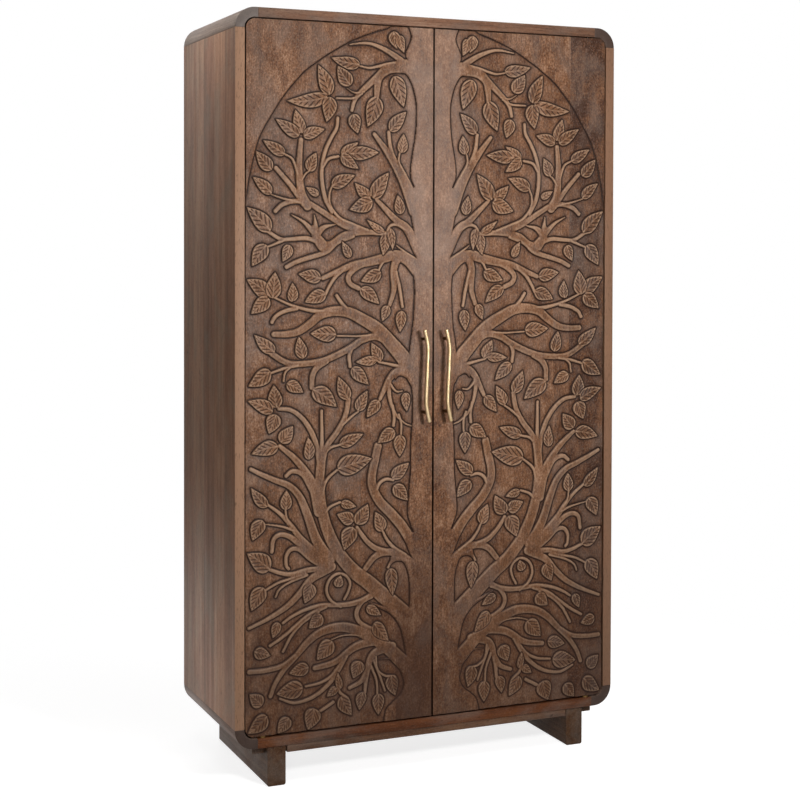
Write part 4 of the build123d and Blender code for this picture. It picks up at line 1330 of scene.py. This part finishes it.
@dataclass
class Pull:
    """A door's pull: a bent brass rod on two posts."""

    hand: Hand
    centre_x: float = 28.5
    centre_z: float = 949.5
    rod_y: float = -226.5
    length: float = 223.0
    bend_spacing: float = 152.0
    bend_sway: float = 2.8
    end_sway: float = 6.9
    radius: float = 5.0
    end_rounding: float = 2.2
    step: float = 1.6
    ring_points: int = 20

    def sizes(self) -> dict[str, float | int]:
        """Return the inputs of the rod's tree, in metres."""
        return {"Rod Radius": self.radius * MM, "End Rounding": self.end_rounding * MM,
                "Step": self.step * MM, "Ring Points": self.ring_points}

    def route(self) -> list[Place]:
        """Return the rod's middle line from top to foot, in metres."""
        x, half, bend = self.hand.value * self.centre_x, self.length / 2, self.bend_spacing / 2
        places = (
            (-self.end_sway, half), (-self.end_sway * 0.45, half * 0.87), (self.bend_sway * 0.9, bend * 0.98),
            (self.bend_sway * 0.85, bend * 0.7), (0.0, 0.0), (-self.bend_sway * 0.85, -bend * 0.7),
            (-self.bend_sway * 0.9, -bend * 0.98), (self.end_sway * 0.45, -half * 0.87),
            (self.end_sway, -half),
        )
        return [((x + off) * MM, self.rod_y * MM, (self.centre_z + rise) * MM) for off, rise in places]

    def tree(self, material: Material) -> NodeTree:
        """Make the nodes that draw the rod along its route.

        Args:
            material: The brass.

        Returns:
            A tree with the rod's sizes as inputs.
        """
        tree, given = sized_tree("brass_rod_along_route", self.sizes())
        add = partial(add_node, tree)
        line = add("GeometryNodeMeshToCurve", (given["Geometry"],))
        spline = add("GeometryNodeCurveSplineType", {"Curve": line}, spline_type="NURBS")
        fine = add("GeometryNodeResampleCurve", {"Curve": spline, "Length": given["Step"]}, mode="LENGTH")
        # the rod's ends are rounded: its radius grows from the end as on a ball of the given size
        along = add("GeometryNodeSplineParameter").outputs["Length"]
        to_end = add("Math", (add("GeometryNodeSplineLength"), along), operation="SUBTRACT")
        nearer = add("Math", (to_end, along), operation="MINIMUM")
        share = add("Math", (nearer, given["End Rounding"]), operation="DIVIDE", use_clamp=True)
        away = add("Math", (1.0, share), operation="SUBTRACT")
        squared = add("Math", (away, 2.0), operation="POWER")
        rest = add("Math", (1.0, squared), operation="SUBTRACT")
        arc = add("Math", (rest, 0.5), operation="POWER")
        inset = add("Math", (arc, 1.0), operation="SUBTRACT")
        reach = add("Math", (inset, given["End Rounding"], given["Rod Radius"]), operation="MULTIPLY_ADD")
        scaled = add("GeometryNodeSetCurveRadius", {"Curve": fine, "Radius": reach})
        ring = add("GeometryNodeCurvePrimitiveCircle", {"Resolution": given["Ring Points"], "Radius": 1.0})
        skin = add("GeometryNodeCurveToMesh", {
            "Curve": scaled, "Profile Curve": ring, "Scale": add("GeometryNodeInputRadius"),
            "Fill Caps": True,
        })
        soft = add("GeometryNodeSetShadeSmooth", {"Geometry": skin})
        real = add("GeometryNodeRealizeInstances", (soft,))
        coat = add("GeometryNodeSetMaterial", {"Geometry": real, "Material": material})
        add("NodeGroupOutput", {0: coat})
        return tree

    def build(self, brass: Material, bronze: Material, steel: Material) -> None:
        """Make the rod, and dress its posts and screws.

        Args:
            brass: The rod's metal.
            bronze: The posts' darker metal: dark bronze, and painted shade on the posts.
            steel: The screws' metal.
        """
        route = self.route()
        mesh = bpy.data.meshes.new("rod_route")
        mesh.from_pydata(route, [(index, index + 1) for index in range(len(route) - 1)], [])
        made = grown_mesh("rod_route", mesh, self.tree(brass), self.sizes())
        made.set_sharp_from_angle(angle=math.radians(50))
        word = self.hand.word
        rod = new_object(f"{word}_pull_rod", made)
        dress(rod, brass)
        set_on(rod, f"{word}_door", f"{word}_handle_bar")
        # the posts' dark bronze is partly painted shade
        dress(bpy.data.objects[f"{word}_handle_posts"], bronze)
        dress(bpy.data.objects[f"{word}_handle_screws"], steel)


@dataclass
class SmallScrews:
    """Pan-head screws that hold the back and the base boards."""

    head_radius: float = 3.6
    head_height: float = 2.4
    slot_width: float = 0.9
    back_y: float = 227.5
    edge_x: float = 467.0
    sink: float = 0.15
    back_heights: tuple[int, ...] = (180, 400, 640, 880, 1120, 1360, 1600, 1750)
    shelf_z: float = 905.0
    base_z: float = 76.0
    seed: int = 7

    def sizes(self) -> dict[str, float | int]:
        """Return the inputs of the heads' tree, in metres."""
        return {"Head Radius": self.head_radius * MM, "Head Height": self.head_height * MM,
                "Slot Width": self.slot_width * MM, "Seed": self.seed}

    def tree(self, material: Material) -> NodeTree:
        """Make the nodes that set a screw head on every given point, turned to its own normal.

        Args:
            material: The screws' steel.

        Returns:
            A tree with the head's sizes as inputs.
        """
        tree, given = sized_tree("screw_heads_on_points", self.sizes())
        add = partial(add_node, tree)
        ball = add("GeometryNodeMeshUVSphere", {"Segments": 16, "Rings": 10, "Radius": 1.0})
        spot = add("SeparateXYZ", (add("GeometryNodeInputPosition"),)).outputs
        # a pan head: the ball's lower half becomes its flat seat, its upper half a low dome
        dome = add("Math", (spot["Z"], 0.0), operation="MAXIMUM")
        swell = add("Math", (dome, 0.6), operation="POWER")
        size = add("CombineXYZ", (given["Head Radius"], given["Head Radius"], given["Head Height"]))
        shape = add("CombineXYZ", (spot["X"], spot["Y"], swell))
        grown = add("VectorMath", (shape, size), operation="MULTIPLY")
        head = add("GeometryNodeSetPosition", {"Geometry": ball, "Position": grown})
        blade_size = add("CombineXYZ", (given["Head Height"], given["Slot Width"], given["Head Height"]))
        blade = add("GeometryNodeMeshCube", {"Size": blade_size})
        lift = add("CombineXYZ", {2: given["Head Height"]})
        lifted = add("GeometryNodeTransform", {"Geometry": blade, "Translation": lift})
        turned = add("GeometryNodeTransform", {"Geometry": lifted, "Rotation": (0.0, 0.0, math.pi / 2)})
        recess = add("GeometryNodeMeshBoolean", {"Mesh 1": head}, operation="DIFFERENCE")
        for cutter in (lifted, turned):
            tree.links.new(cutter.outputs[0], recess.inputs["Mesh 2"])
        axis = add("GeometryNodeInputNamedAttribute", {"Name": "axis"}, data_type="FLOAT_VECTOR")
        aim = add("FunctionNodeAlignRotationToVector", {"Vector": axis}, axis="Z")
        spin = add("FunctionNodeRandomValue", {2: 0.0, 3: math.pi, "Seed": given["Seed"]}, data_type="FLOAT")
        twist = add("FunctionNodeAxisAngleToRotation", {"Axis": (0.0, 0.0, 1.0), "Angle": spin})
        both = add("FunctionNodeRotateRotation", {"Rotation": aim, "Rotate By": twist},
                   rotation_space="LOCAL")
        cloud = add("GeometryNodeInstanceOnPoints", {
            "Points": given["Geometry"], "Instance": recess, "Rotation": both,
        })
        real = add("GeometryNodeRealizeInstances", (cloud,))
        coat = add("GeometryNodeSetMaterial", {"Geometry": real, "Material": material})
        add("NodeGroupOutput", {0: coat})
        return tree

    def places(self) -> dict[str, list[tuple[Place, Place]]]:
        """Return where each group's screws stand and which way they point, in millimetres."""
        low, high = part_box("right_base_strip")
        strip_x, behind, under = (low.x + high.x) / 2 / MM, self.back_y - self.sink, self.base_z + self.sink
        out, down = (0, 1, 0), (0, 0, -1)
        back = [((side * self.edge_x, behind, z), out) for side in (-1, 1) for z in self.back_heights]
        back += [((x, behind, self.shelf_z), out) for x in (-300, -100, 100, 300)]
        below = [((x, y, under), down) for x in (-320, -110, 110, 320) for y in (-150, 140)]
        strips = [((side * strip_x, y, under), down) for side in (-1, 1) for y in (-120, 20, 150)]
        return {"back_screw_heads": back, "base_screw_heads": below + strips}

    def build(self, steel: Material) -> None:
        """Make each group of screw heads as one piece.

        Args:
            steel: The screws' metal.
        """
        tree = self.tree(steel)
        for name, places in self.places().items():
            mesh = bpy.data.meshes.new(f"{name}_points")
            mesh.from_pydata([Vector(place) * MM for place, _ in places], [], [])
            axes = mesh.attributes.new("axis", "FLOAT_VECTOR", "POINT")
            for index, (_, way) in enumerate(places):
                axes.data[index].vector = way
            piece = new_object(name, grown_mesh(f"{name}_points", mesh, tree, self.sizes()))
            dress(piece, steel)
            set_on(piece, "case")


# Studio


@dataclass(frozen=True)
class Lamp:
    """One square soft lamp, in metres and watts."""

    name: str
    place: Place
    aim: Place
    size: float
    power: float

    def build(self) -> None:
        """Set the lamp where it stands, turned to what it lights."""
        data = bpy.data.lights.new(self.name, "AREA")
        data.size, data.energy = self.size, self.power
        light = bpy.data.objects.new(self.name, data)
        light.location = self.place
        light.visible_camera = False
        light.rotation_mode = "QUATERNION"
        light.rotation_quaternion = (Vector(self.aim) - Vector(self.place)).to_track_quat("-Z", "Y")
        bpy.context.scene.collection.objects.link(light)


@dataclass
class Studio:
    """Pale floor, soft lamps and the camera."""

    camera_place: tuple[float, float, float] = (-1.6114, -3.7304, 1.275)
    yaw: float = 23.329
    pitch: float = 1.197
    roll: float = 0.151
    lens: float = 72.335
    shift_y: float = -0.1579
    world_level: float = 0.09
    floor_half: float = 6.0
    lamps: tuple[Lamp, ...] = (
        Lamp("key_lamp", (0.25, -1.9, 1.3), (0.0, -0.2, 1.2), 0.3, 29.0),
        Lamp("right_lamp", (2.4, 0.4, 1.0), (0.5, 0.0, 0.9), 0.9, 15.0),
        Lamp("back_lamp", (0.3, 2.6, 1.1), (0.0, 0.23, 0.9), 0.9, 22.0),
        Lamp("hood_lamp", (-0.1, -1.1, 2.75), (0.0, -0.2, 1.2), 0.7, 11.5),
        Lamp("pull_lamp", (-1.35, -2.4, 0.78), (-0.1, -0.2, 0.95), 0.55, 8.0),
        Lamp("side_lamp", (-2.2, 0.3, 1.0), (-0.5, 0.0, 0.95), 0.8, 4.4),
        Lamp("top_lamp", (-0.78, 0.02, 2.02), (-0.5, 0.02, 1.6), 0.35, 2.2),
        Lamp("low_lamp", (-0.85, 0.0, 0.12), (-0.5, 0.0, 0.1), 0.3, 0.55),
    )

    def camera(self) -> None:
        """Set the camera where the photograph was taken."""
        yaw, pitch, roll = (math.radians(angle) for angle in (self.yaw, self.pitch, self.roll))
        forward = Vector((math.sin(yaw) * math.cos(pitch), math.cos(yaw) * math.cos(pitch), -math.sin(pitch)))
        level_right = Vector((math.cos(yaw), -math.sin(yaw), 0))
        level_up = level_right.cross(forward)
        right = level_right * math.cos(roll) + level_up * math.sin(roll)
        up = level_up * math.cos(roll) - level_right * math.sin(roll)
        data = bpy.data.cameras.new("camera")
        data.lens, data.sensor_width, data.shift_y = self.lens, 36.0, self.shift_y
        camera = bpy.data.objects.new("camera", data)
        bpy.context.scene.collection.objects.link(camera)
        turn = Matrix((right, up, -forward)).transposed()
        camera.matrix_world = Matrix.Translation(self.camera_place) @ turn.to_4x4()
        bpy.context.scene.camera = camera

    def white_for_view(self, add: Callable, mirrored: Node) -> Node:
        """Say how white the surroundings are: 1 for rays from the camera, less in mirroring surfaces.

        Args:
            add: add_node for the tree of the world or of the floor.
            mirrored: How white the place is in a mirroring surface.

        Returns:
            The level, 0 for all rays that only carry light.
        """
        rays = add("LightPath").outputs
        seen = add("Math", (rays["Is Camera Ray"], rays["Is Transmission Ray"]), operation="MAXIMUM")
        return add("Math", (rays["Is Glossy Ray"], mirrored, seen), operation="MULTIPLY_ADD")

    def world(self) -> None:
        """Make the white world, which is dim near the horizon where a surface mirrors it."""
        world = bpy.data.worlds.new("studio")
        bpy.context.scene.world = world
        world.use_nodes = True
        world.node_tree.nodes.clear()
        add = partial(add_node, world.node_tree)
        way = add("SeparateXYZ", (add("TexCoord").outputs["Generated"],)).outputs["Z"]
        above = add("MapRange", (way, 0.01, 0.16, 0.14), interpolation_type=SOFT)
        level = add("MapRange", (self.white_for_view(add, above), 0.0, 1.0, self.world_level, 1.0))
        add("OutputWorld", (add("Background", ((1.0, 1.0, 1.0, 1.0), level)),))

    def floor(self) -> None:
        """Make the pale floor, which keeps the cabinet's shadow and turns white further out."""
        half = self.floor_half
        corners = [(-half, -half, 0), (half, -half, 0), (half, half, 0), (-half, half, 0)]
        mesh = bpy.data.meshes.new("floor")
        mesh.from_pydata(corners, [], [range(4)])
        floor = new_object("floor", mesh)
        material, add = new_material("studio_floor")
        here = add("TexCoord").outputs["Object"]
        distance = add("VectorMath", (here,), operation="LENGTH")
        far = add("MapRange", (distance, 0.75, 1.7), interpolation_type=SOFT)
        close = add("MapRange", (distance, 1.2, 3.4, 0.9, 0.1), interpolation_type=SOFT)
        white = self.white_for_view(add, close)
        seen = add("Math", (white, far), operation="MULTIPLY")
        matt = add("BsdfDiffuse", {"Color": srgb("#b8b8b8")})
        near = add("AddShader", (matt, add("Emission", ((0.79, 0.79, 0.79, 1.0), white))))
        bare = add("Emission", {"Strength": 1.0})
        add("OutputMaterial", (add("MixShader", (seen, near, bare)),))
        dress(floor, material)

    def build(self) -> None:
        """Set up the whole studio."""
        bpy.context.scene.view_settings.view_transform = "Standard"
        self.camera()
        self.world()
        self.floor()
        for lamp in self.lamps:
            lamp.build()


def carved_wood() -> Material:
    """Return the wood of both doors, with the tone of each glued board."""
    edge, width = CarvedDoor.outer_x, TreeRelief.width * THOUSANDTH
    left = [(share * width - edge, tone) for share, tone in ((0, 0.46), (430, 0.4), (600, 0.44))]
    right = [(edge - share * width, tone) for share, tone in ((1000, 0.44), (308, 0.42), (213, 0.16))]
    return CarvedMango(
        "stained_mango_carved_doors", Grain.UPRIGHT, "#382116", "#6d4931", "#a07b61",
        cloud=(42.0, 64.0, 0.85), streak=(13.0, 260.0, 0.3), fibre=(3.0, 18.0, 0.5), speck=(4.0, 5.0, 0.8),
        drift_fade=(0.42, 0.68, 0.0, 0.42), drift_tone="#6f5e54", bloom_fade=(0.5, 0.74, 0.0, 0.3),
        # the doors' edges are near black: dark stain, and painted shade that makes the gap between the doors
        # read dark
        end_tone="#1b100a", end_fade=(0.55, 0.35, 0.0, 1.0), board_tones=(*left, *right),
    ).build()


def main() -> None:
    """Build the cabinet's looks round its frame."""
    logging.basicConfig(level=logging.INFO, format="%(name)s %(message)s")
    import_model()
    Studio().build()
    Case().build()
    relief = TreeRelief()
    relief.carve()
    doors = carved_wood()
    # lacquered brass gleams warm, cast bronze is brown and dull, zinc plate grey and bright, and
    # blackened steel dark
    brass, bush, steel, black_steel = (AgedMetal(*finish).build() for finish in (
        ("aged_brass_pull", "#c9b08a", "#a98d62", 0.36), ("cast_bronze_bush", "#6d5433", "#3f2e1a", 0.42),
        ("zinc_plated_steel", "#b9bcbe", "#7d8184", 0.34),
        ("blackened_steel_pin", "#3a3633", "#211f1d", 0.45),
    ))
    plastic = MouldedShell("moulded_acetal_catch").build()
    for hand in Hand:
        CarvedDoor(hand, relief).build(doors)
        Pull(hand).build(brass, bush, steel)
        word = hand.word
        for name, material in (
            (f"{word}_door_top_pin", black_steel), (f"{word}_door_bottom_pin", black_steel),
            (f"{word}_strike_plate", steel), (f"{word}_magnetic_catch", plastic),
            (f"{word}_thrust_washer", bush),
            (f"top_{word}_pivot_bush", bush), (f"bottom_{word}_pivot_bush", bush),
        ):
            dress(bpy.data.objects[name], material)
    dress(bpy.data.objects["shelf_pins"], steel)
    dress(bpy.data.objects["leg_screws"], steel)
    SmallScrews().build(steel)


if __name__ == "__main__":
    main()
